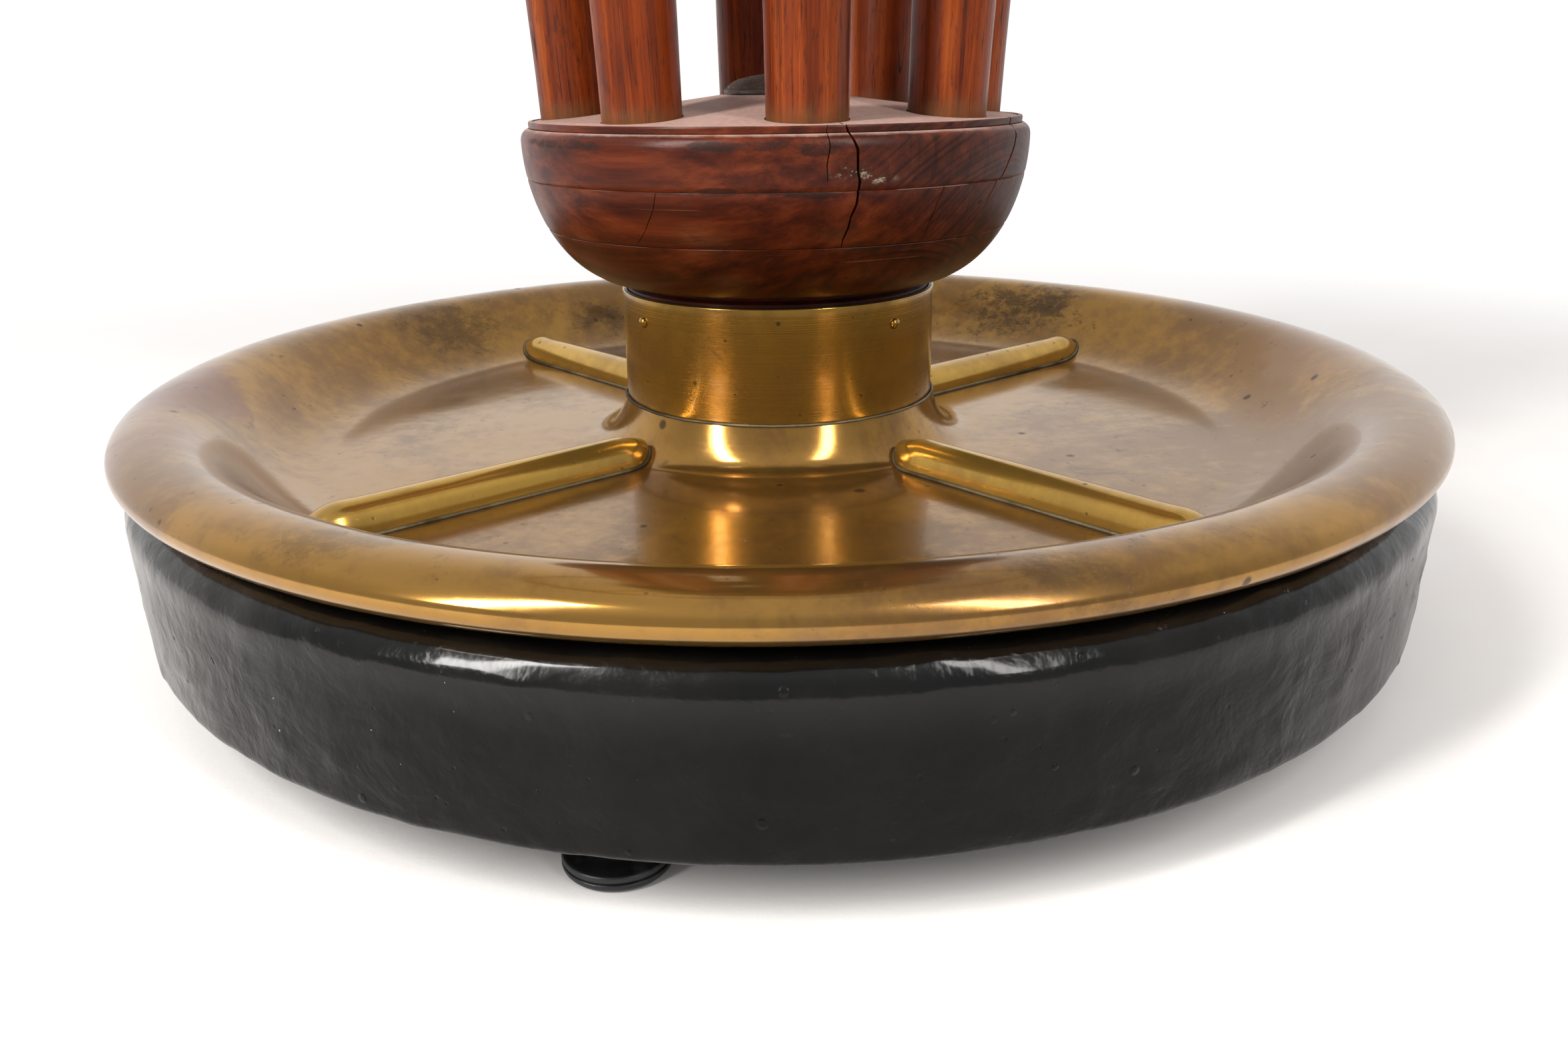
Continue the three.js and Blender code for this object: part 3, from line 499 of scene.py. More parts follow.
trayBrass = brassFinish("trayBrass", goldLook)
ribBrass = brassFinish("ribBrass", ribLook)
collarBrass = brassFinish("collarBrass", collarLook)
upperWood = blockFinish("upperBoardWood", upperLook)
middleWood = blockFinish("middleBoardWood", middleLook)
lowerWood = blockFinish("lowerBoardWood", lowerLook)
neckWood = blockFinish("neckWood", neckLook)
crownWood = blockFinish("crownWood", crownLook)
spreaderWood = blockFinish("spreaderWood", spreaderLook)
knobWood = blockFinish("knobWood", knobLook)
rodWood = rodFinish("rodWood", rodLook)
blackPaint = paintFinish("blackPaint")
solder = solderFinish("softSolder")
dullSteel = steelFinish("dullSteel", 0.15)
dustySteel = steelFinish("dustySteel", 1.0)
blackRubber = rubberFinish("blackRubber")
print("finishes made")


# Points along a cubic curve, without its first one
def curved(a, b, c, d, steps):
    a, b, c, d = (Vector(p) for p in (a, b, c, d))
    out = []
    for k in range(1, steps + 1):
        t = k / steps
        s = 1 - t
        out.append(tuple(a * s ** 3 + b * 3 * s * s * t + c * 3 * s * t * t + d * t ** 3))
    return out


def arc(centre, reach, rise, start, end, steps):
    out = []
    for k in range(steps + 1):
        angle = math.radians(start + (end - start) * k / steps)
        out.append((centre[0] + reach * math.cos(angle), centre[1] + rise * math.sin(angle)))
    return out


# An outline whose points may have a third number, the size of their rounded corner
def eased(outline, steps=5):
    out = []
    for k, corner in enumerate(outline):
        here = Vector(corner[:2])
        size = corner[2] if len(corner) > 2 else 0
        if not size:
            out.append(tuple(here))
            continue
        before = Vector(outline[k - 1][:2])
        after = Vector(outline[(k + 1) % len(outline)][:2])
        start = here + (before - here).normalized() * min(size, (before - here).length * 0.49)
        end = here + (after - here).normalized() * min(size, (after - here).length * 0.49)
        for j in range(steps + 1):
            t = j / steps
            out.append(tuple(start * (1 - t) ** 2 + here * 2 * t * (1 - t) + end * t * t))
    return out


# The same outline with no stretch longer than the spacing
def finely(outline, spacing, closed=False):
    out = []
    ends = list(zip(outline, outline[1:] + outline[:1] if closed else outline[1:]))
    for a, b in ends:
        a, b = Vector(a), Vector(b)
        steps = max(1, math.ceil((b - a).length / spacing))
        out += [tuple(a.lerp(b, j / steps)) for j in range(steps)]
    if not closed:
        out.append(tuple(outline[-1]))
    return out


def addPiece(name, mesh, material):
    piece = bpy.data.objects.new(name, mesh)
    bpy.context.scene.collection.objects.link(piece)
    if material is not None and not piece.data.materials:
        piece.data.materials.append(material)
    return piece


def smoothed(mesh, degrees=32):
    for face in mesh.polygons:
        face.use_smooth = True
    mesh.set_sharp_from_angle(angle=math.radians(degrees))
    return mesh


def meshOf(name, points, faces, edges=()):
    mesh = bpy.data.meshes.new(name)
    mesh.from_pydata(points, list(edges), faces)
    mesh.validate()
    return mesh


# Turns all the faces of a closed mesh outwards
def facedOut(mesh):
    shape = bmesh.new()
    shape.from_mesh(mesh)
    bmesh.ops.recalc_face_normals(shape, faces=shape.faces)
    shape.to_mesh(mesh)
    shape.free()
    return mesh


# A turned solid. The outline runs from the bottom of the axis outwards, up and back to the axis
def turnedMesh(name, outline, segments, closed=False):
    points, faces, rows = [], [], []
    for radius, height in outline:
        if radius < 1e-7 and not closed:
            points.append((0, 0, height))
            rows.append([len(points) - 1] * segments)
            continue
        rows.append(list(range(len(points), len(points) + segments)))
        for k in range(segments):
            angle = 2 * math.pi * k / segments
            points.append((radius * math.cos(angle), radius * math.sin(angle), height))
    pairs = list(zip(rows, rows[1:] + rows[:1] if closed else rows[1:]))
    for low, high in pairs:
        for k in range(segments):
            n = (k + 1) % segments
            face = [low[k], low[n], high[n], high[k]]
            face = [v for j, v in enumerate(face) if v != face[j - 1]]
            if len(face) > 2:
                faces.append(face)
    return meshOf(name, points, faces)


# Moves each point along its normal by what move says of its place
def uneven(mesh, move):
    normals = [v.normal.copy() for v in mesh.vertices]
    for vertex, normal in zip(mesh.vertices, normals):
        vertex.co += normal * move(vertex.co, normal)
    mesh.update()
    return mesh


# A hexagonal nut with chamfered corners and a round hole
def hexMesh(name, flats, bottom, top, hole):
    side = 96
    rows = []
    corner = flats / math.sqrt(3) * 0.985  # a little rounded
    chamfer = (top - bottom) * 0.12
    levels = [(bottom, 0), (bottom, 1), (bottom + chamfer, 2), (top - chamfer, 2), (top, 1), (top, 0)]
    points = []
    for height, kind in levels:
        rows.append(range(len(points), len(points) + side))
        for k in range(side):
            angle = 2 * math.pi * k / side
            folded = (angle + math.pi / 6) % (math.pi / 3) - math.pi / 6
            edge = flats / 2 / math.cos(folded)
            radius = (hole, flats / 2, min(edge, corner))[kind]
            points.append((radius * math.cos(angle), radius * math.sin(angle), height))
    faces = []
    for low, high in zip(rows, rows[1:] + rows[:1]):
        for k in range(side):
            n = (k + 1) % side
            faces.append([low[k], low[n], high[n], high[k]])
    return meshOf(name, points, faces)


# Cuts the tools out of the piece, for good
def cutWith(piece, tools):
    for tool in tools:
        cut = piece.modifiers.new("cut", "BOOLEAN")
        cut.operation = "DIFFERENCE"
        cut.solver = "EXACT"
        cut.object = tool
    settle(piece)
    for tool in tools:
        bpy.data.objects.remove(tool)


# Turns what the modifiers make into the piece's own plain mesh
def settle(piece):
    bpy.context.view_layer.update()
    seen = piece.evaluated_get(bpy.context.evaluated_depsgraph_get())
    mesh = bpy.data.meshes.new_from_object(seen)
    piece.modifiers.clear()
    piece.data = mesh
    return piece


# Every piece rides on the stand's one body. Added detail, such as solder, replaces no node
def finished(piece, slotName, *nodes):
    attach(piece, "root")
    if nodes:
        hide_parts(*nodes)
    return piece


# A Geometry Nodes tree under construction, with named inputs
class Recipe(Bench):
    def __init__(self, name, inputs):
        super().__init__(bpy.data.node_groups.new(name, "GeometryNodeTree"))
        face = self.tree.interface
        face.new_socket("Geometry", in_out="INPUT", socket_type="NodeSocketGeometry")
        self.keys = {}
        for key, kind in inputs.items():
            made = face.new_socket(key, in_out="INPUT", socket_type=kind)
            self.keys[key] = made.identifier
        face.new_socket("Geometry", in_out="OUTPUT", socket_type="NodeSocketGeometry")
        self.entry = self.tree.nodes.new("NodeGroupInput")
        self.exit = self.tree.nodes.new("NodeGroupOutput")

    def given(self, key):
        return Socket(self.tree, self.entry.outputs[key])

    # Every tree ends in real geometry with a material
    def close(self, geometry):
        real = self.node("GeometryNodeRealizeInstances", {}, {"Geometry": geometry})
        done = self.node("GeometryNodeSetMaterial", {}, {
            "Geometry": real, "Material": self.given("Material")})
        self.tree.links.new(done.plug, self.exit.inputs[0])
        return self

    def use(self, piece, **values):
        modifier = piece.modifiers.new(self.tree.name, "NODES")
        modifier.node_group = self.tree
        for key, value in values.items():
            modifier[self.keys[key]] = value
        return settle(piece)


# Copies of one piece round the stand's axis, each with its own number in copy
def roundRecipe():
    r = Recipe("roundTheAxis", {
        "Count": "NodeSocketInt", "First": "NodeSocketFloat", "Material": "NodeSocketMaterial"})
    seats = r.node("GeometryNodePoints", {}, {"Count": r.given("Count")})
    number = r.node("GeometryNodeInputIndex")
    turn = r.given("First") + number * (2 * math.pi) / r.given("Count")
    turned = r.node("ShaderNodeCombineXYZ", {}, {"Z": turn})
    copies = r.node("GeometryNodeInstanceOnPoints", {}, {
        "Points": seats, "Instance": r.given("Geometry"), "Rotation": turned})
    marked = r.node("GeometryNodeStoreNamedAttribute", {"data_type": "FLOAT", "domain": "INSTANCE"}, {
        "Geometry": copies, "Name": "copy", "Value": number * 1.0})
    return r.close(marked)


# A run of solder along edges: a round section whose size and path waver
def beadRecipe():
    r = Recipe("solderBead", {
        "Radius": "NodeSocketFloat", "Step": "NodeSocketFloat", "Waver": "NodeSocketFloat",
        "Seed": "NodeSocketFloat", "Material": "NodeSocketMaterial"})
    run = r.node("GeometryNodeMeshToCurve", {}, {"Mesh": r.given("Geometry")})
    even = r.node("GeometryNodeResampleCurve", {"mode": "LENGTH"}, {"Curve": run, "Length": r.given("Step")})
    where = r.node("GeometryNodeInputPosition")
    swell = r.node("ShaderNodeTexNoise", {"noise_dimensions": "4D"}, {
        "Vector": where, "W": r.given("Seed"), "Scale": 160.0, "Detail": 3.0})
    section = r.node("GeometryNodeCurvePrimitiveCircle", {"mode": "RADIUS"}, {
        "Resolution": 8, "Radius": r.given("Radius")})
    tube = r.node("GeometryNodeCurveToMesh", {}, {
        "Curve": even, "Profile Curve": section, "Scale": 0.55 + swell * 0.9, "Fill Caps": True})
    push = r.node("ShaderNodeTexNoise", {"noise_dimensions": "4D"}, {
        "Vector": where, "W": r.given("Seed"), "Scale": 90.0, "Detail": 2.0}, out="Color")
    centred = r.node("ShaderNodeVectorMath", {"operation": "SUBTRACT"}, {0: push, 1: (0.5, 0.5, 0.5)})
    offset = r.node("ShaderNodeVectorMath", {"operation": "SCALE"}, {0: centred, "Scale": r.given("Waver")})
    moved = r.node("GeometryNodeSetPosition", {}, {"Geometry": tube, "Offset": offset})
    smooth = r.node("GeometryNodeSetShadeSmooth", {}, {"Geometry": moved})
    return r.close(smooth)


# One stud on every point, standing straight out from the stand's axis
def studRecipe():
    r = Recipe("studsOnPoints", {
        "Stud": "NodeSocketObject", "Material": "NodeSocketMaterial"})
    where = r.node("GeometryNodeInputPosition")
    level = r.node("ShaderNodeVectorMath", {"operation": "MULTIPLY"}, {0: where, 1: (1, 1, 0)})
    aim = r.node("FunctionNodeAlignRotationToVector", {"axis": "Z"}, {"Vector": level})
    stud = r.node("GeometryNodeObjectInfo", {}, {"Object": r.given("Stud")}, out="Geometry")
    copies = r.node("GeometryNodeInstanceOnPoints", {}, {
        "Points": r.given("Geometry"), "Instance": stud, "Rotation": aim})
    return r.close(copies)


# A bent tube: a round section carried round a level circle
def hoopRecipe():
    r = Recipe("bentTube", {
        "Radius": "NodeSocketFloat", "Tube": "NodeSocketFloat", "Height": "NodeSocketFloat",
        "Material": "NodeSocketMaterial"})
    path = r.node("GeometryNodeCurvePrimitiveCircle", {"mode": "RADIUS"}, {
        "Resolution": 240, "Radius": r.given("Radius")})
    section = r.node("GeometryNodeCurvePrimitiveCircle", {"mode": "RADIUS"}, {
        "Resolution": 28, "Radius": r.given("Tube")})
    tube = r.node("GeometryNodeCurveToMesh", {}, {"Curve": path, "Profile Curve": section})
    lift = r.node("ShaderNodeCombineXYZ", {}, {"Z": r.given("Height")})
    moved = r.node("GeometryNodeSetPosition", {}, {"Geometry": tube, "Offset": lift})
    smooth = r.node("GeometryNodeSetShadeSmooth", {}, {"Geometry": moved})
    return r.close(smooth)


roundTheAxis = roundRecipe()
solderBead = beadRecipe()
studsOnPoints = studRecipe()
bentTube = hoopRecipe()
print("recipes made")


foot = {"count": 3, "first": -12.4, "ring": 243 * mm, "pad": 17.5 * mm, "stud": 6 * mm, "nut": 20 * mm}
base = {
    "bottom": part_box("base_casting")[0].z, "bottomRadius": 275.5 * mm, "shoulderRadius": 277.5 * mm,
    "round": 12 * mm, "top": edgeHeight - 1.6 * mm, "rimInner": 246 * mm, "rimSlope": 18 * mm,
    "plateTop": floorHeight - 2.3 * mm, "plate": 10 * mm, "skirt": 10 * mm, "hub": 32 * mm, "hubDrop": 9 * mm,
    "webStart": 40 * mm, "webThick": 8 * mm, "webDeep": 26 * mm, "boss": 18 * mm, "bossHole": 6.3 * mm,
}


# Paint over a rough casting: broad waves, lumps and runs. The flat top under the tray is left smooth
def baseLump(place, normal):
    if place.z > base["top"] - 1 * mm and place.xy.length < base["shoulderRadius"] - 14 * mm:
        return 0
    wave = noise.noise(place * 14) * 0.35 * mm
    lump = noise.fractal(place * 55, 0.6, 2.0, 3) * 0.32 * mm
    run = noise.noise(Vector((place.x * 45, place.y * 45, place.z * 30))) * 0.25 * mm
    blob = max(0, noise.noise(place * 85 + Vector((7, 3, 1))) - 0.32) * 1.6 * mm
    return wave + lump + run + blob - 0.35 * mm


def makeBase():
    b = base
    plateBottom = b["plateTop"] - b["plate"]
    inner = b["bottomRadius"] - b["skirt"]
    shoulder = (b["shoulderRadius"] - b["round"], b["top"] - b["round"])
    outline = [
        (0, plateBottom - b["hubDrop"]), (b["hub"], plateBottom - b["hubDrop"], 2 * mm),
        (b["hub"] + 2 * mm, plateBottom, 3 * mm), (inner, plateBottom, 6 * mm), (inner, b["bottom"], 1 * mm),
        (b["bottomRadius"], b["bottom"], 4 * mm), *arc(shoulder, b["round"], b["round"], 0, 90, 14),
        (b["rimInner"], b["top"], 3 * mm), (b["rimInner"] - b["rimSlope"], b["plateTop"], 4 * mm),
        (0, b["plateTop"]),
    ]
    outline = finely(eased(outline), 2 * mm)
    mesh = turnedMesh("base", outline, 420)
    piece = addPiece("base", smoothed(uneven(mesh, baseLump), 50), blackPaint)
    return finished(piece, "base_paint", "base_casting")


# A web and a boss for each foot, under the plate
def makeBaseWebs():
    b = base
    plateBottom = b["plateTop"] - b["plate"]
    web = bmesh.new()
    bmesh.ops.create_cube(web, size=1)
    size = (foot["ring"] - b["webStart"], b["webThick"], b["webDeep"])
    middle = ((foot["ring"] + b["webStart"]) / 2, 0, plateBottom - b["webDeep"] / 2 + 0.4 * mm)
    bmesh.ops.scale(web, vec=size, verts=web.verts)
    bmesh.ops.translate(web, vec=middle, verts=web.verts)
    bmesh.ops.bevel(web, geom=web.edges[:], offset=1.5 * mm, segments=2, affect="EDGES")
    mesh = bpy.data.meshes.new("web")
    web.to_mesh(mesh)
    web.free()
    outline = eased([
        (b["bossHole"], b["bottom"]), (b["boss"], b["bottom"], 1.5 * mm), (b["boss"], plateBottom + 1 * mm),
        (b["bossHole"], plateBottom + 1 * mm)])
    boss = turnedMesh("boss", finely(outline, 4 * mm, True), 64, True)
    boss.transform(Matrix.Translation((foot["ring"], 0, 0)))
    joined = bmesh.new()
    joined.from_mesh(mesh)
    joined.from_mesh(boss)
    joined.to_mesh(mesh)
    joined.free()
    piece = addPiece("baseWebs", smoothed(mesh), blackPaint)
    first = math.radians(foot["first"] + front)
    roundTheAxis.use(piece, Count=foot["count"], First=first, Material=blackPaint)
    return finished(piece, "base_paint")


makeBase()
makeBaseWebs()
print("base made")


tray = {
    "sheet": 2 * mm, "rollCentre": 263 * mm, "rollReach": trayReach - 263 * mm,
    "rollRise": (rimTop - edgeHeight) / 2, "coveFoot": 200 * mm, "flareFoot": 90 * mm, "flareBulge": 75 * mm,
    "coveLow": 36 * mm, "coveHigh": 25 * mm,  # how far the cove's curve leans out and in
}


# The upper face of the sheet, from the hub's top outwards to the lower edge of the roll
def trayOutline():
    t = tray
    top = collarBox[0].z - 0.3 * mm
    hub = (collarRadius, top)
    flare = curved(hub, (t["flareBulge"], floorHeight + trayDepth / 3), (t["flareBulge"] + 5 * mm, floorHeight),
                   (t["flareFoot"], floorHeight), 18)
    cove = curved((t["coveFoot"], floorHeight), (t["coveFoot"] + t["coveLow"], floorHeight),
                  (t["rollCentre"] - t["coveHigh"], rimTop), (t["rollCentre"], rimTop), 34)
    roll = arc((t["rollCentre"], edgeHeight + t["rollRise"]), t["rollReach"], t["rollRise"], 84, -74, 34)
    return [hub, *flare, (t["coveFoot"], floorHeight), *cove, *roll]


def trayHeight(radius, outline=trayOutline()):
    for near, far in zip(outline, outline[1:]):
        if far[0] >= radius:
            return near[1] + (far[1] - near[1]) * (radius - near[0]) / (far[0] - near[0])
    return outline[-1][1]


# bearing, radius, size and depth of each dent
dents = [(bearing(b) * r * mm, size * mm, deep * mm) for b, r, size, deep in [
    (-62, 172, 20, 0.22), (-75, 140, 26, 0.2), (70, 168, 24, 0.22), (88, 150, 17, 0.2),
    (22, 165, 22, 0.14), (-20, 150, 26, 0.12), (118, 180, 22, 0.22), (-110, 185, 24, 0.25),
    (160, 170, 26, 0.2), (-150, 150, 22, 0.2), (-28, 258, 24, 0.2), (33, 262, 30, 0.25),
    (-74, 262, 34, 0.35), (80, 262, 36, 0.3), (140, 258, 40, 0.3)]]


# Waves left by spinning and dents left by ferrules
def trayDent(place, normal):
    wave = noise.noise(place * 11) * 0.16 * mm + noise.noise(place * 31 + Vector((4, 4, 4))) * 0.05 * mm
    for centre, size, deep in dents:
        far = (place.xy - centre.xy).length / size
        if far < 2.5:
            wave -= deep * math.exp(-far * far * 2)
    return wave


def makeTray():
    upper = finely(trayOutline(), 2.2 * mm)
    lower = []
    for k, here in enumerate(upper):
        run = (Vector(upper[min(k + 1, len(upper) - 1)]) - Vector(upper[max(k - 1, 0)])).normalized()
        lower.append((here[0] + run.y * tray["sheet"], here[1] - run.x * tray["sheet"]))
    mesh = turnedMesh("tray", lower + upper[::-1], 460, True)
    heights = {v.index: trayDent(v.co, v.normal) for v in mesh.vertices}
    for v in mesh.vertices:
        if v.co.xy.length < trayReach - 3 * mm:
            v.co.z += heights[v.index]
    mesh.update()
    piece = addPiece("tray", smoothed(mesh, 40), trayBrass)
    return finished(piece, "tray_brass", "tray")


makeTray()
print("tray made")


rib = {"count": 4, "first": 41, "inner": 77 * mm, "outer": 226 * mm, "width": 20 * mm, "height": 12 * mm,
       "nose": 16 * mm, "gap": 0.3 * mm, "sink": 0.75}


def ribSwell(x):
    toEnd = min(x - rib["inner"], rib["outer"] - x)
    if toEnd >= rib["nose"]:
        return 1.0
    return max(0.02, math.sqrt(max(0.0, 1 - (1 - toEnd / rib["nose"]) ** 2)))


def ribStations(steps):
    span = rib["outer"] - rib["inner"]
    return [rib["inner"] + span * (1 - math.cos(math.pi * k / steps)) / 2 for k in range(steps + 1)]


def makeRibs():
    around = 26
    points, faces = [], []
    stations = ribStations(90)
    for x in stations:
        half = rib["width"] / 2 * ribSwell(x)
        climb = max(0.0, trayHeight(x) - floorHeight) if x > tray["coveFoot"] else 0.0
        rise = max(rib["height"] * ribSwell(x) - climb * rib["sink"], rib["height"] * 0.03)
        for k in range(around + 1):
            angle = math.pi * k / around
            y = half * math.cos(angle)
            bow = rise * max(0, math.sin(angle)) ** 0.9
            points.append((x, y, trayHeight(math.hypot(x, y)) + rib["gap"] + bow))
    row = around + 1
    for i in range(len(stations) - 1):
        for k in range(around):
            a = i * row + k
            faces.append([a, a + 1, a + row + 1, a + row])
        a = i * row
        faces.append([a + around, a, a + row, a + row + around])
    faces.append(list(range(around, -1, -1)))
    faces.append([(len(stations) - 1) * row + k for k in range(around + 1)])
    mesh = facedOut(meshOf("ribs", points, faces))
    piece = addPiece("trayRibs", smoothed(mesh, 50), ribBrass)
    roundTheAxis.use(piece, Count=rib["count"], First=math.radians(rib["first"] + front), Material=ribBrass)
    return finished(piece, "rib_brass", *(f"tray_rib_{k}" for k in range(1, rib["count"] + 1)))


# A bead round the foot of every rib
def makeRibSolder():
    stations = ribStations(44)
    side = [(x, rib["width"] / 2 * ribSwell(x) + 0.5 * mm) for x in stations]
    loop = side + [(x, -y) for x, y in side[::-1]]
    points, edges = [], []
    for copy in range(rib["count"]):
        turn = Matrix.Rotation(math.radians(rib["first"] + 90 * copy + front), 3, "Z")
        start = len(points)
        for x, y in loop:
            points.append(turn @ Vector((x, y, trayHeight(math.hypot(x, y)) + 0.5 * mm)))
        edges += [(start + k, start + (k + 1) % len(loop)) for k in range(len(loop))]
    piece = addPiece("ribSolder", meshOf("ribSolder", points, [], edges), None)
    solderBead.use(piece, Radius=0.75 * mm, Step=1.3 * mm, Waver=0.35 * mm, Seed=2.0, Material=solder)
    return finished(piece, "rib_brass")


def makeCollarSolder():
    steps = 180
    points = [bearing(360 * k / steps) * (collarRadius + 0.7 * mm) + Vector((0, 0, collarBox[0].z - 0.2 * mm))
              for k in range(steps)]
    edges = [(k, (k + 1) % steps) for k in range(steps)]
    piece = addPiece("collarSolder", meshOf("collarSolder", points, [], edges), None)
    solderBead.use(piece, Radius=0.6 * mm, Step=1.2 * mm, Waver=0.5 * mm, Seed=5.0, Material=solder)
    return finished(piece, "collar_brass")


makeRibs()
makeRibSolder()
makeCollarSolder()
print("ribs and solder made")


collar = {"wall": 2 * mm, "nails": (-55, 44, 134, -146), "nailDrop": 10 * mm, "head": 2.3 * mm}


def makeCollar():
    low, high = collarBox[0].z, collarBox[1].z
    inner = collarRadius - collar["wall"]
    outline = eased([(inner, low), (collarRadius, low, 0.3 * mm), (collarRadius, high, 0.7 * mm),
                     (inner, high, 0.4 * mm)], 4)
    mesh = turnedMesh("collar", finely(outline, 2.5 * mm, True), 300, True)
    uneven(mesh, lambda place, normal: noise.noise(place * 24) * 0.12 * mm - 0.06 * mm)
    piece = addPiece("collar", smoothed(mesh), collarBrass)
    return finished(piece, "collar_brass", "collar")


def makeNails():
    size, dome, seat = collar["head"], collar["head"] * 0.72, 0.1 * mm
    head = turnedMesh("nailHead", [
        (0, -0.4 * mm), (size, -0.4 * mm), (size * 1.02, seat), *arc((0, seat), size, dome, 8, 82, 9),
        (0, dome + seat)], 28)
    stud = addPiece("nailHead", smoothed(head, 60), None)
    height = collarBox[1].z - collar["nailDrop"]
    points = [bearing(b) * (collarRadius + 0.1 * mm) + Vector((0, 0, height)) for b in collar["nails"]]
    piece = addPiece("collarNails", meshOf("nailPoints", points, []), None)
    studsOnPoints.use(piece, Stud=stud, Material=collarBrass)
    bpy.data.objects.remove(stud)
    return finished(piece, "collar_brass", *(f"collar_nail_{k + 1}" for k in range(len(collar["nails"]))))


makeCollar()
makeNails()
print("collar made")


block = {"radius": 109.2 * mm, "bodyRise": 59 * mm, "footRadius": 69.5 * mm, "neckRadius": 67.7 * mm,
         "disc": 105.8 * mm, "discHeight": 3.4 * mm, "coneRise": coneRise, "coneTop": 24 * mm, "glue": 0.2 * mm}
rod = {"count": 8, "first": 8, "ring": 84.5 * mm, "lean": 2.6, "foot": 15.5 * mm, "top": 14.5 * mm,
       "swell": 2.4 * mm, "socket": 40 * mm, "crownSocket": 24 * mm}
rodLength = (crownBox[0].z - blockRim) / math.cos(math.radians(rod["lean"])) + rod["crownSocket"]
bowl = curved(
    (block["footRadius"], blockFoot), (block["footRadius"] + 20.5 * mm, blockFoot + 1 * mm),
    (block["radius"] - 0.4 * mm, blockFoot + 26.5 * mm), (block["radius"], blockFoot + block["bodyRise"]), 90)
bowl.insert(0, (block["footRadius"], blockFoot))


def bowlRadius(height):
    return float(np.interp(height, [p[1] for p in bowl], [p[0] for p in bowl]))


def bowlSide(bottom, top):
    steps = math.ceil((top - bottom) / (1.2 * mm))
    levels = [bottom + (top - bottom) * k / steps for k in range(steps + 1)]
    return [(bowlRadius(z), z) for z in levels]


# A board's side with both its edges a little rounded, so that the glue line shows
def softened(side, size=0.5 * mm):
    first, last = side[0], side[-1]
    return [(first[0] - size, first[1]), (first[0] - size * 0.3, first[1] + size * 0.35), *side[1:-1],
            (last[0] - size * 0.3, last[1] - size * 0.35), (last[0] - size, last[1])]


def rodRadius(along):
    t = min(max(along / rodLength, 0), 1)
    return rod["foot"] * (1 - t) + rod["top"] * t + rod["swell"] * math.sin(math.pi * t)


# An upright rod's way to its leaning place on the side of +X
rodSeat = Matrix.Translation((rod["ring"], 0, blockRim)) @ Matrix.Rotation(math.radians(rod["lean"]), 4, "Y")


def rodPlace(copy):
    step = 360 / rod["count"]
    return Matrix.Rotation(math.radians(rod["first"] + step * copy + front), 4, "Z") @ rodSeat


# Tools for the sockets of all the rods between two places along them
def rodRoom(start, end):
    radius = rodRadius((start + end) / 2) + 0.35 * mm
    tools = []
    for copy in range(rod["count"]):
        mesh = turnedMesh("room", [(0, start), (radius, start), (radius, end), (0, end)], 72)
        mesh.transform(rodPlace(copy))
        tools.append(addPiece("room", mesh, None))
    return tools


# each crack: points of (bearing, height over the block's foot, width) from its top down, and its depth
cracks = {
    "upper": [
        ([(12.6, 74, 0.7), (13.4, 69, 1.0), (14.2, 65, 0.9), (15.6, 59, 1.2), (15.7, 52, 1.0),
          (16.2, 48, 1.1), (16.0, 43, 0.9)], 16),
        ([(10.2, 70, 0.3), (9.9, 65, 0.5), (10.2, 60, 0.45), (9.6, 54, 0.5), (9.8, 48, 0.3)], 6),
        ([(62.5, 74, 0.8), (62.0, 66, 1.2), (60.0, 57, 1.3), (56.5, 48, 1.1), (54, 43, 0.9)], 15),
    ],
    "middle": [
        ([(16.0, 46, 0.9), (15.9, 40, 1.0), (14.9, 35, 0.7), (14.6, 31, 0.8), (13.8, 27, 0.6),
          (13.6, 23, 0.2)], 12),
        ([(54, 46, 0.9), (52, 40, 0.7), (50.5, 34, 0.15)], 9),
        ([(-24, 46, 0.2), (-25.5, 38, 0.35), (-28.5, 30, 0.3), (-32, 24, 0.1)], 5),
        ([(36, 46, 0.25), (34.5, 38, 0.4), (33.6, 30, 0.3), (32.8, 24, 0.1)], 6),
    ],
}


# A thin blade that follows the crack down the side of the block
def crackTool(points, depth):
    rows = []
    for direction, rise, width in points:
        height = blockFoot + rise * mm
        radius = bowlRadius(height)
        out = bearing(direction)
        side = Vector((-out.y, out.x, 0))
        lift = Vector((0, 0, height))
        half = width * mm / 2
        outer = out * (radius + 3 * mm) + lift
        inner = out * (radius - depth * mm) + lift
        rows.append([outer - side * half * 1.2, outer + side * half * 1.2, inner + side * half * 0.35,
                     inner - side * half * 0.35])
    corners = [corner for row in rows for corner in row]
    faces = [[0, 1, 2, 3], [len(corners) - 1 - k for k in range(4)]]
    for i in range(len(rows) - 1):
        for k in range(4):
            a, b = i * 4 + k, i * 4 + (k + 1) % 4
            faces.append([a, a + 4, b + 4, b])
    return addPiece("crack", facedOut(meshOf("crack", corners, faces)), None)


# Hand-turned, knocked and shrunk: no side is quite true
def worn(place, normal):
    if abs(normal.z) > 0.9:
        return 0
    return noise.noise(place * 19) * 0.25 * mm + noise.noise(place * 60) * 0.08 * mm - 0.12 * mm


def makeBoard(name, bottom, side, top, material, tools, node):
    outline = finely([(0, bottom), *side, (0, top)], 4 * mm)
    piece = addPiece(name, uneven(turnedMesh(name, outline, 300), worn), material)
    cutWith(piece, tools)
    smoothed(piece.data, 36)
    return finished(piece, "block_wood", node)


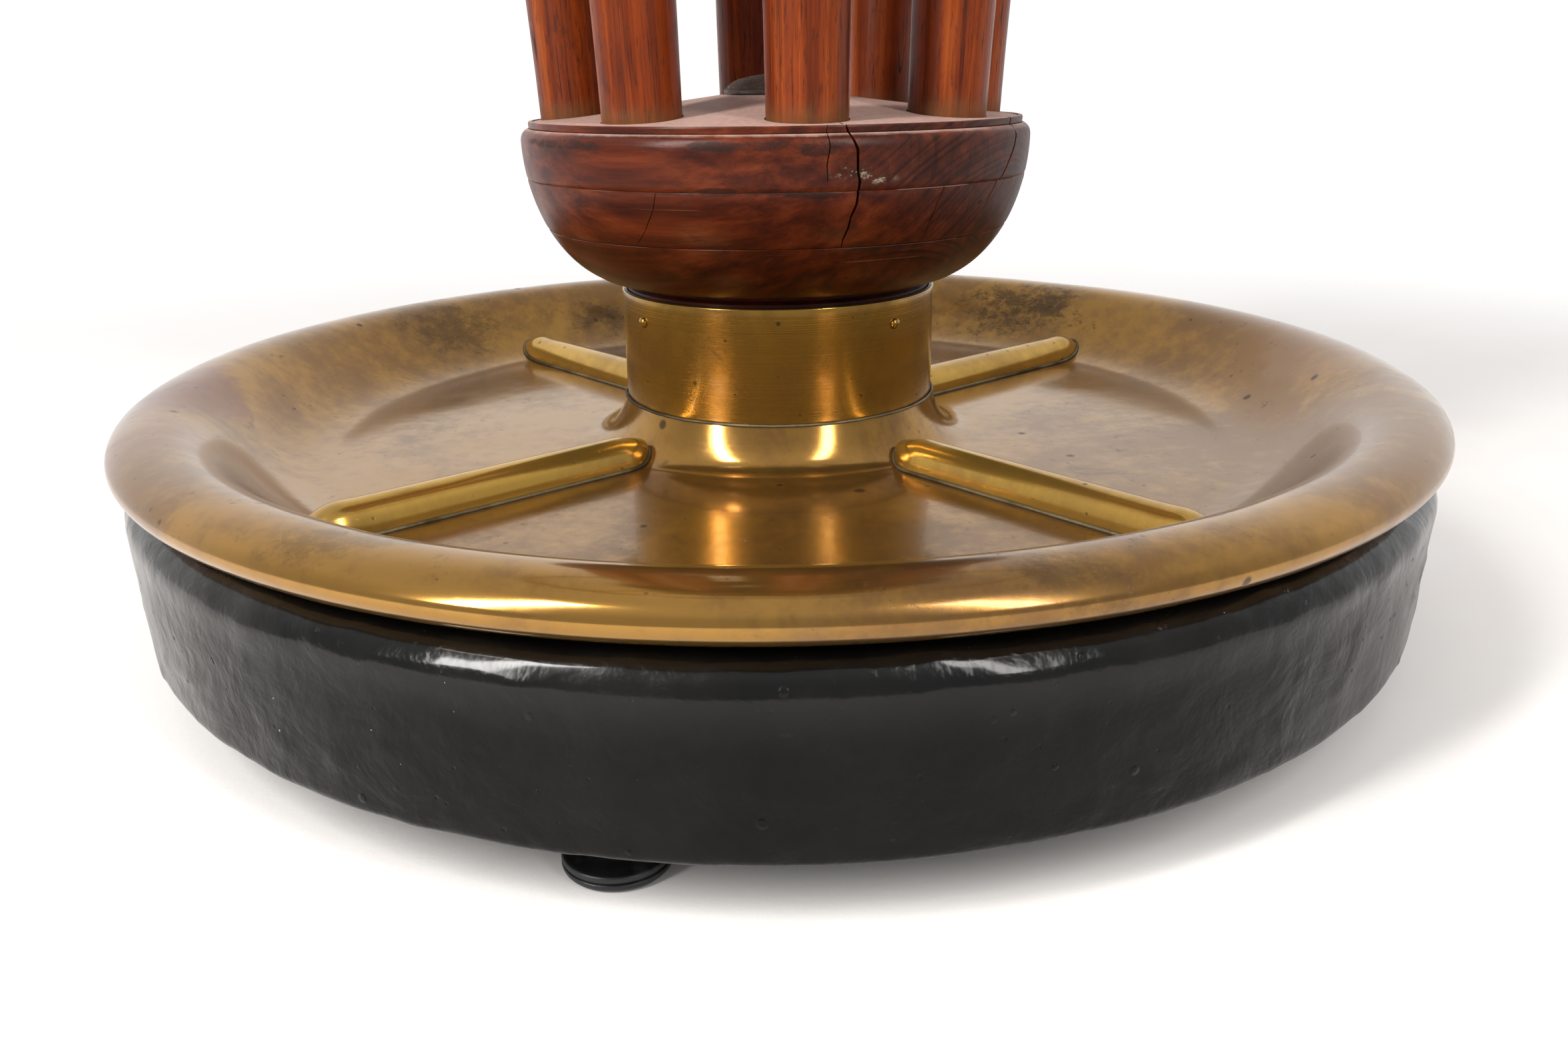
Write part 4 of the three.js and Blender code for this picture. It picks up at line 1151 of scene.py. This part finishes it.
def makeBlock():
    b = block
    glue = b["glue"]
    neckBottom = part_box("block_neck")[0].z
    thick, edge = b["neckRadius"], collarBox[1].z
    neck = [(thick, neckBottom), (thick, edge + 1.2 * mm), (thick - 0.9 * mm, edge + 2.0 * mm),
            (thick + 0.4 * mm, blockFoot - 1 * mm), (thick + 0.2 * mm, blockFoot - glue)]
    makeBoard("blockNeck", neckBottom, neck, blockFoot - glue, neckWood, [], "block_neck")
    side = softened(bowlSide(blockFoot, lowerJoint - glue))
    makeBoard("blockLowerBoard", blockFoot, side, lowerJoint - glue, lowerWood, [], "block_lower_board")
    side = softened(bowlSide(lowerJoint, upperJoint - glue))
    tools = [crackTool(*c) for c in cracks["middle"]]
    top = upperJoint - glue
    makeBoard("blockMiddleBoard", lowerJoint, side, top, middleWood, tools, "block_middle_board")
    widest = blockFoot + b["bodyRise"]
    discFoot = blockRim - b["discHeight"]
    wide, disc = b["radius"], b["disc"]
    shoulder = curved((wide, widest), (wide + 0.1 * mm, widest + 3 * mm),
                      (wide - 1.2 * mm, discFoot + 0.1 * mm), (wide - 3.6 * mm, discFoot + 0.4 * mm), 10)
    rim = eased([(disc - 1.2 * mm, discFoot - 0.3 * mm), (disc - 0.2 * mm, discFoot + 0.6 * mm, 0.4 * mm),
                 (disc, blockRim - 0.2 * mm, 0.9 * mm), (disc - 2.2 * mm, blockRim, 0.5 * mm)], 4)
    cone = []
    for k in range(1, 31):
        t = k / 30
        radius = (disc - 3 * mm) * (1 - t) + b["coneTop"] * t
        cone.append((radius, blockRim + b["coneRise"] * t ** 1.2))
    side = softened(bowlSide(upperJoint, widest))[:-2] + [*shoulder, *rim, *cone]
    tools = rodRoom(-rod["socket"] + 20 * mm, 30 * mm) + [crackTool(*c) for c in cracks["upper"]]
    top = blockRim + b["coneRise"]
    makeBoard("blockUpperBoard", upperJoint, side, top, upperWood, tools, "block_upper_board")


makeBlock()
print("block made")


def rodWaver(place, normal):
    return 0 if abs(normal.z) > 0.8 else noise.noise(place * 28) * 0.16 * mm - 0.05 * mm


def makeRods():
    steps = 150
    side = [(rodRadius(rodLength * k / steps), rodLength * k / steps) for k in range(steps + 1)]
    low = -rod["socket"] + 20.5 * mm
    outline = [(0, low), (rod["foot"], low), (rod["foot"], -0.1 * mm), *side, (0, rodLength)]
    mesh = turnedMesh("rods", outline, 64)
    grain = mesh.attributes.new("grain", "FLOAT_VECTOR", "POINT")
    for vertex in mesh.vertices:
        grain.data[vertex.index].vector = vertex.co
    uneven(mesh, rodWaver)
    mesh.transform(rodSeat)
    piece = addPiece("rods", smoothed(mesh), rodWood)
    roundTheAxis.use(piece, Count=rod["count"], First=math.radians(rod["first"] + front), Material=rodWood)
    return finished(piece, "rod_wood", *(f"rod_{k}" for k in range(1, rod["count"] + 1)))


makeRods()
print("rods made")


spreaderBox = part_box("spreader_disc")
hoopHeight = (spreaderBox[0].z + spreaderBox[1].z) / 2
rail = {"radius": 215 * mm, "tube": 6 * mm, "armStud": 4 * mm, "rosette": 13 * mm, "rosetteThick": 4 * mm,
        "arm": 5.5 * mm, "ball": 10.5 * mm, "spreaderHole": 45 * mm}


def makeSpreader():
    low, high = spreaderBox[0].z, spreaderBox[1].z
    outer = spreaderBox[1].x
    hole = rail["spreaderHole"]
    outline = eased([
        (hole, low, 3 * mm), (outer - 6 * mm, low, 1 * mm), (outer - 4.5 * mm, low + 3 * mm, 1 * mm),
        (outer, low + 6 * mm, 5 * mm), (outer, high - 6 * mm, 5 * mm),
        (outer - 4.5 * mm, high - 3 * mm, 1 * mm), (outer - 6 * mm, high, 1 * mm), (hole, high, 3 * mm)], 5)
    mesh = turnedMesh("spreaderDisc", finely(outline, 4 * mm, True), 280, True)
    along = (hoopHeight - blockRim) / math.cos(math.radians(rod["lean"]))
    piece = addPiece("spreaderDisc", uneven(mesh, worn), spreaderWood)
    cutWith(piece, rodRoom(along - 26 * mm, along + 26 * mm))
    smoothed(piece.data, 36)
    return finished(piece, "block_wood", "spreader_disc")


def makeHoop():
    mesh = meshOf("hoop", [(0, 0, 0)], [])
    piece = addPiece("hoop", mesh, None)
    bentTube.use(piece, Radius=rail["radius"], Tube=rail["tube"], Height=hoopHeight, Material=collarBrass)
    return finished(piece, "collar_brass", "hoop")


def makeArms():
    r = rail
    edge = spreaderBox[1].x + 0.3 * mm
    start = 180 - math.degrees(math.asin(r["arm"] / r["ball"]))
    ball = arc((0, r["radius"]), r["ball"], r["ball"], 90 - start, 88, 30)
    plate, face = r["rosette"], edge + r["rosetteThick"]
    outline = eased([
        (0, edge - 18 * mm), (r["armStud"], edge - 18 * mm), (r["armStud"], edge), (plate, edge, 0.5 * mm),
        (plate, face - 1 * mm, 1 * mm), (plate - 3 * mm, face, 1 * mm),
        (r["arm"] + 1.6 * mm, face + 1 * mm, 1 * mm), (r["arm"], face + 6 * mm, 3 * mm), *ball,
        (0, r["radius"] + r["ball"])], 4)
    mesh = turnedMesh("hoopArms", finely(outline, 4 * mm), 40)
    mesh.transform(Matrix.Translation((0, 0, hoopHeight)) @ Matrix.Rotation(math.radians(90), 4, "Y"))
    piece = addPiece("hoopArms", smoothed(mesh), collarBrass)
    first = math.radians(rib["first"] + front)  # each arm lies over a rib
    roundTheAxis.use(piece, Count=rib["count"], First=first, Material=collarBrass)
    return finished(piece, "collar_brass", *(f"hoop_arm_{k}" for k in range(1, rib["count"] + 1)))


def makeCrown():
    low, high = crownBox[0].z, crownBox[1].z
    outer = crownBox[1].x
    side = eased([
        (outer - 8 * mm, low, 2 * mm), (outer, low + 6 * mm, 6 * mm), (outer, low + 20 * mm, 5 * mm),
        (outer - 7 * mm, low + 21.5 * mm, 0.8 * mm), (outer - 7 * mm, low + 25 * mm, 1 * mm)], 8)
    step = (outer - 9 * mm, low + 25.2 * mm)
    dome = curved(step, (outer * 0.75, high - 7 * mm), (outer * 0.5, high - 2 * mm), (31 * mm, high), 26)
    outline = finely([(0, low), *side, step, *dome, (0, high)], 4 * mm)
    piece = addPiece("crown", uneven(turnedMesh("crown", outline, 300), worn), crownWood)
    cutWith(piece, rodRoom(rodLength - rod["crownSocket"] - 20 * mm, rodLength + 0.3 * mm))
    smoothed(piece.data, 36)
    return finished(piece, "block_wood", "crown")


def knobWaver(place, normal):
    return 0 if normal.z > 0.97 else noise.noise(place * 40) * 0.1 * mm - 0.06 * mm


def makeKnob():
    low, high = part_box("knob")
    foot = crownBox[1].z + 0.3 * mm
    ballRadius = 23 * mm
    ball = arc((0, high.z - ballRadius), ballRadius, ballRadius, -56, 88, 40)
    outline = eased([
        (0, foot), (27 * mm, foot, 1 * mm), (28 * mm, foot + 2.5 * mm, 2 * mm),
        (26 * mm, foot + 5.5 * mm, 1 * mm), (17 * mm, foot + 6.5 * mm, 3 * mm),
        (12 * mm, foot + 12 * mm, 5 * mm), *ball, (0, high.z)], 6)
    mesh = uneven(turnedMesh("knob", finely(outline, 3 * mm), 120), knobWaver)
    piece = addPiece("knob", smoothed(mesh, 40), knobWood)
    return finished(piece, "block_wood", "knob")


makeSpreader()
makeHoop()
makeArms()
makeCrown()
makeKnob()
print("rail and crown made")


tie = {"rod": 8 * mm, "bore": 8.3 * mm, "nut": 24 * mm, "capEdge": 2.2 * mm}


# Dust and fluff stand up from the top of the cap nut
def fluffRise(place, normal):
    return max(0, normal.z) * (noise.fractal(place * 160, 0.7, 2.1, 4) - 0.6) * 0.9 * mm


def makeTie():
    low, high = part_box("tie_rod")
    outline = eased([(0, low.z), (tie["rod"], low.z, 1 * mm), (tie["rod"], high.z), (0, high.z)], 3)
    shaft = addPiece("tieRod", smoothed(turnedMesh("tieRod", finely(outline, 20 * mm), 48)), dullSteel)
    finished(shaft, "steel", "tie_rod")
    low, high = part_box("tie_cap_nut")
    width, edge = high.x, low.z + tie["capEdge"]
    dome = eased([(0, low.z), (width, low.z, 0.6 * mm), (width, edge, 0.8 * mm),
                  *arc((0, edge), width - 1 * mm, high.z - edge, 4, 86, 20), (0, high.z)], 3)
    mesh = uneven(turnedMesh("tieCapNut", finely(dome, 1.2 * mm), 120), fluffRise)
    cap = addPiece("tieCapNut", smoothed(mesh, 60), dustySteel)
    finished(cap, "steel", "tie_cap_nut")
    low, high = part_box("tie_washer")
    ring = eased([(tie["bore"], low.z), (high.x, low.z, 0.4 * mm), (high.x, high.z, 0.4 * mm),
                  (tie["bore"], high.z)], 3)
    washer = addPiece("tieWasher", smoothed(turnedMesh("tieWasher", ring, 96, True)), dullSteel)
    finished(washer, "steel", "tie_washer")
    low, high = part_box("tie_nut")
    nut = addPiece("tieNut", smoothed(hexMesh("tieNut", tie["nut"], low.z, high.z, tie["bore"])), dullSteel)
    finished(nut, "steel", "tie_nut")


def makeFeet():
    f = foot
    pad, top = f["pad"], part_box("foot_1")[1].z
    outline = eased([
        (0, 0), (pad - 1.5 * mm, 0, 0.8 * mm), (pad, 1.6 * mm, 1 * mm), (pad, 3 * mm, 0.4 * mm),
        (pad - 1 * mm, 3.5 * mm, 0.3 * mm), (pad, 4 * mm, 0.4 * mm), (pad, 6 * mm, 1.2 * mm),
        (11 * mm, 7.2 * mm, 1.5 * mm), (9 * mm, 8.5 * mm, 0.8 * mm), (f["stud"], 8.6 * mm),
        (f["stud"], top), (0, top)], 5)
    mesh = turnedMesh("feet", finely(outline, 4 * mm), 96)
    mesh.transform(Matrix.Translation((f["ring"], 0, 0)))
    piece = addPiece("feet", smoothed(mesh), blackRubber)
    first = math.radians(f["first"] + front)
    roundTheAxis.use(piece, Count=f["count"], First=first, Material=blackRubber)
    finished(piece, "foot", *(f"foot_{k}" for k in range(1, f["count"] + 1)))
    low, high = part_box("foot_lock_nut_1")
    nut = hexMesh("lockNuts", f["nut"], low.z, high.z, f["stud"] + 0.3 * mm)
    nut.transform(Matrix.Translation((f["ring"], 0, 0)))
    nuts = addPiece("lockNuts", smoothed(nut), dullSteel)
    roundTheAxis.use(nuts, Count=f["count"], First=first, Material=dullSteel)
    finished(nuts, "steel", *(f"foot_lock_nut_{k}" for k in range(1, f["count"] + 1)))


makeTie()
makeFeet()
print("fixings made")


view = {"distance": 565 * mm, "height": 230 * mm, "pitch": 19.88, "yaw": 0.13, "roll": 0.8, "lens": 28.43}
# name, bearing, elevation, distance, width, height and power
lamps = [("keyLeft", -46, 36, 1.7, 0.2, 1.2, 30), ("keyRight", 35, 36, 1.8, 0.2, 1.2, 14)]
lampColour = (1.0, 0.985, 0.96)
air = {"behind": 1.05, "front": 0.46, "above": 0.72, "seen": 1.05, "colour": (1.0, 0.99, 0.985, 1)}


# The room's light: brighter behind the stand than in front of it
def makeAir():
    world = bpy.data.worlds.new("studioAir")
    world.use_nodes = True
    bench = Bench(world.node_tree)
    way = bench.node("ShaderNodeTexCoord", out="Generated")
    deep, up = bench.outs(bench.node("ShaderNodeSeparateXYZ", {}, {"Vector": way}), "Y", "Z")
    level = bench.between(deep, -0.35, 0.5, air["front"], air["behind"])
    high = bench.between(up, 0.45, 0.85)
    lit = level * (1 - high) + high * air["above"]
    seen = bench.node("ShaderNodeLightPath", out="Is Camera Ray")
    strength = seen * air["seen"] + (1 - seen) * lit
    background = world.node_tree.nodes["Background"]
    background.inputs["Color"].default_value = air["colour"]
    world.node_tree.links.new(strength.plug, background.inputs["Strength"])
    bpy.context.scene.world = world


def makeStudio():
    half = 5.0
    corners = [(-half, -half, 0), (half, -half, 0), (half, half, 0), (-half, half, 0)]
    mesh = meshOf("floor", corners, [[0, 1, 2, 3]])
    floor = addPiece("floor", mesh, floorFinish("paleFloor"))
    target = Vector((0, 0, 0.1))
    for name, direction, elevation, distance, width, height, power in lamps:
        lamp = bpy.data.lights.new(name, "AREA")
        lamp.shape = "RECTANGLE"
        lamp.size = width
        lamp.size_y = height
        lamp.energy = power
        lamp.color = lampColour
        holder = bpy.data.objects.new(name, lamp)
        rise = math.radians(elevation)
        aim = bearing(direction) * math.cos(rise) + Vector((0, 0, math.sin(rise)))
        holder.location = target + aim * distance
        holder.rotation_euler = (target - holder.location).to_track_quat("-Z", "Y").to_euler()
        bpy.context.scene.collection.objects.link(holder)


def makeCamera():
    v = view
    lens = bpy.data.cameras.new("view")
    lens.lens = v["lens"]
    lens.sensor_width = 36
    lens.clip_start = 0.01
    eye = bpy.data.objects.new("view", lens)
    turn = (Matrix.Rotation(math.radians(-v["yaw"]), 4, "Z")
            @ Matrix.Rotation(math.radians(90 - v["pitch"]), 4, "X")
            @ Matrix.Rotation(math.radians(-v["roll"]), 4, "Z"))
    eye.matrix_world = Matrix.Translation((0, -v["distance"], v["height"])) @ turn
    bpy.context.scene.collection.objects.link(eye)
    bpy.context.scene.camera = eye


makeAir()
makeStudio()
makeCamera()
bpy.context.scene.view_settings.view_transform = "Standard"
bpy.context.scene.view_settings.look = "None"
print("studio made")
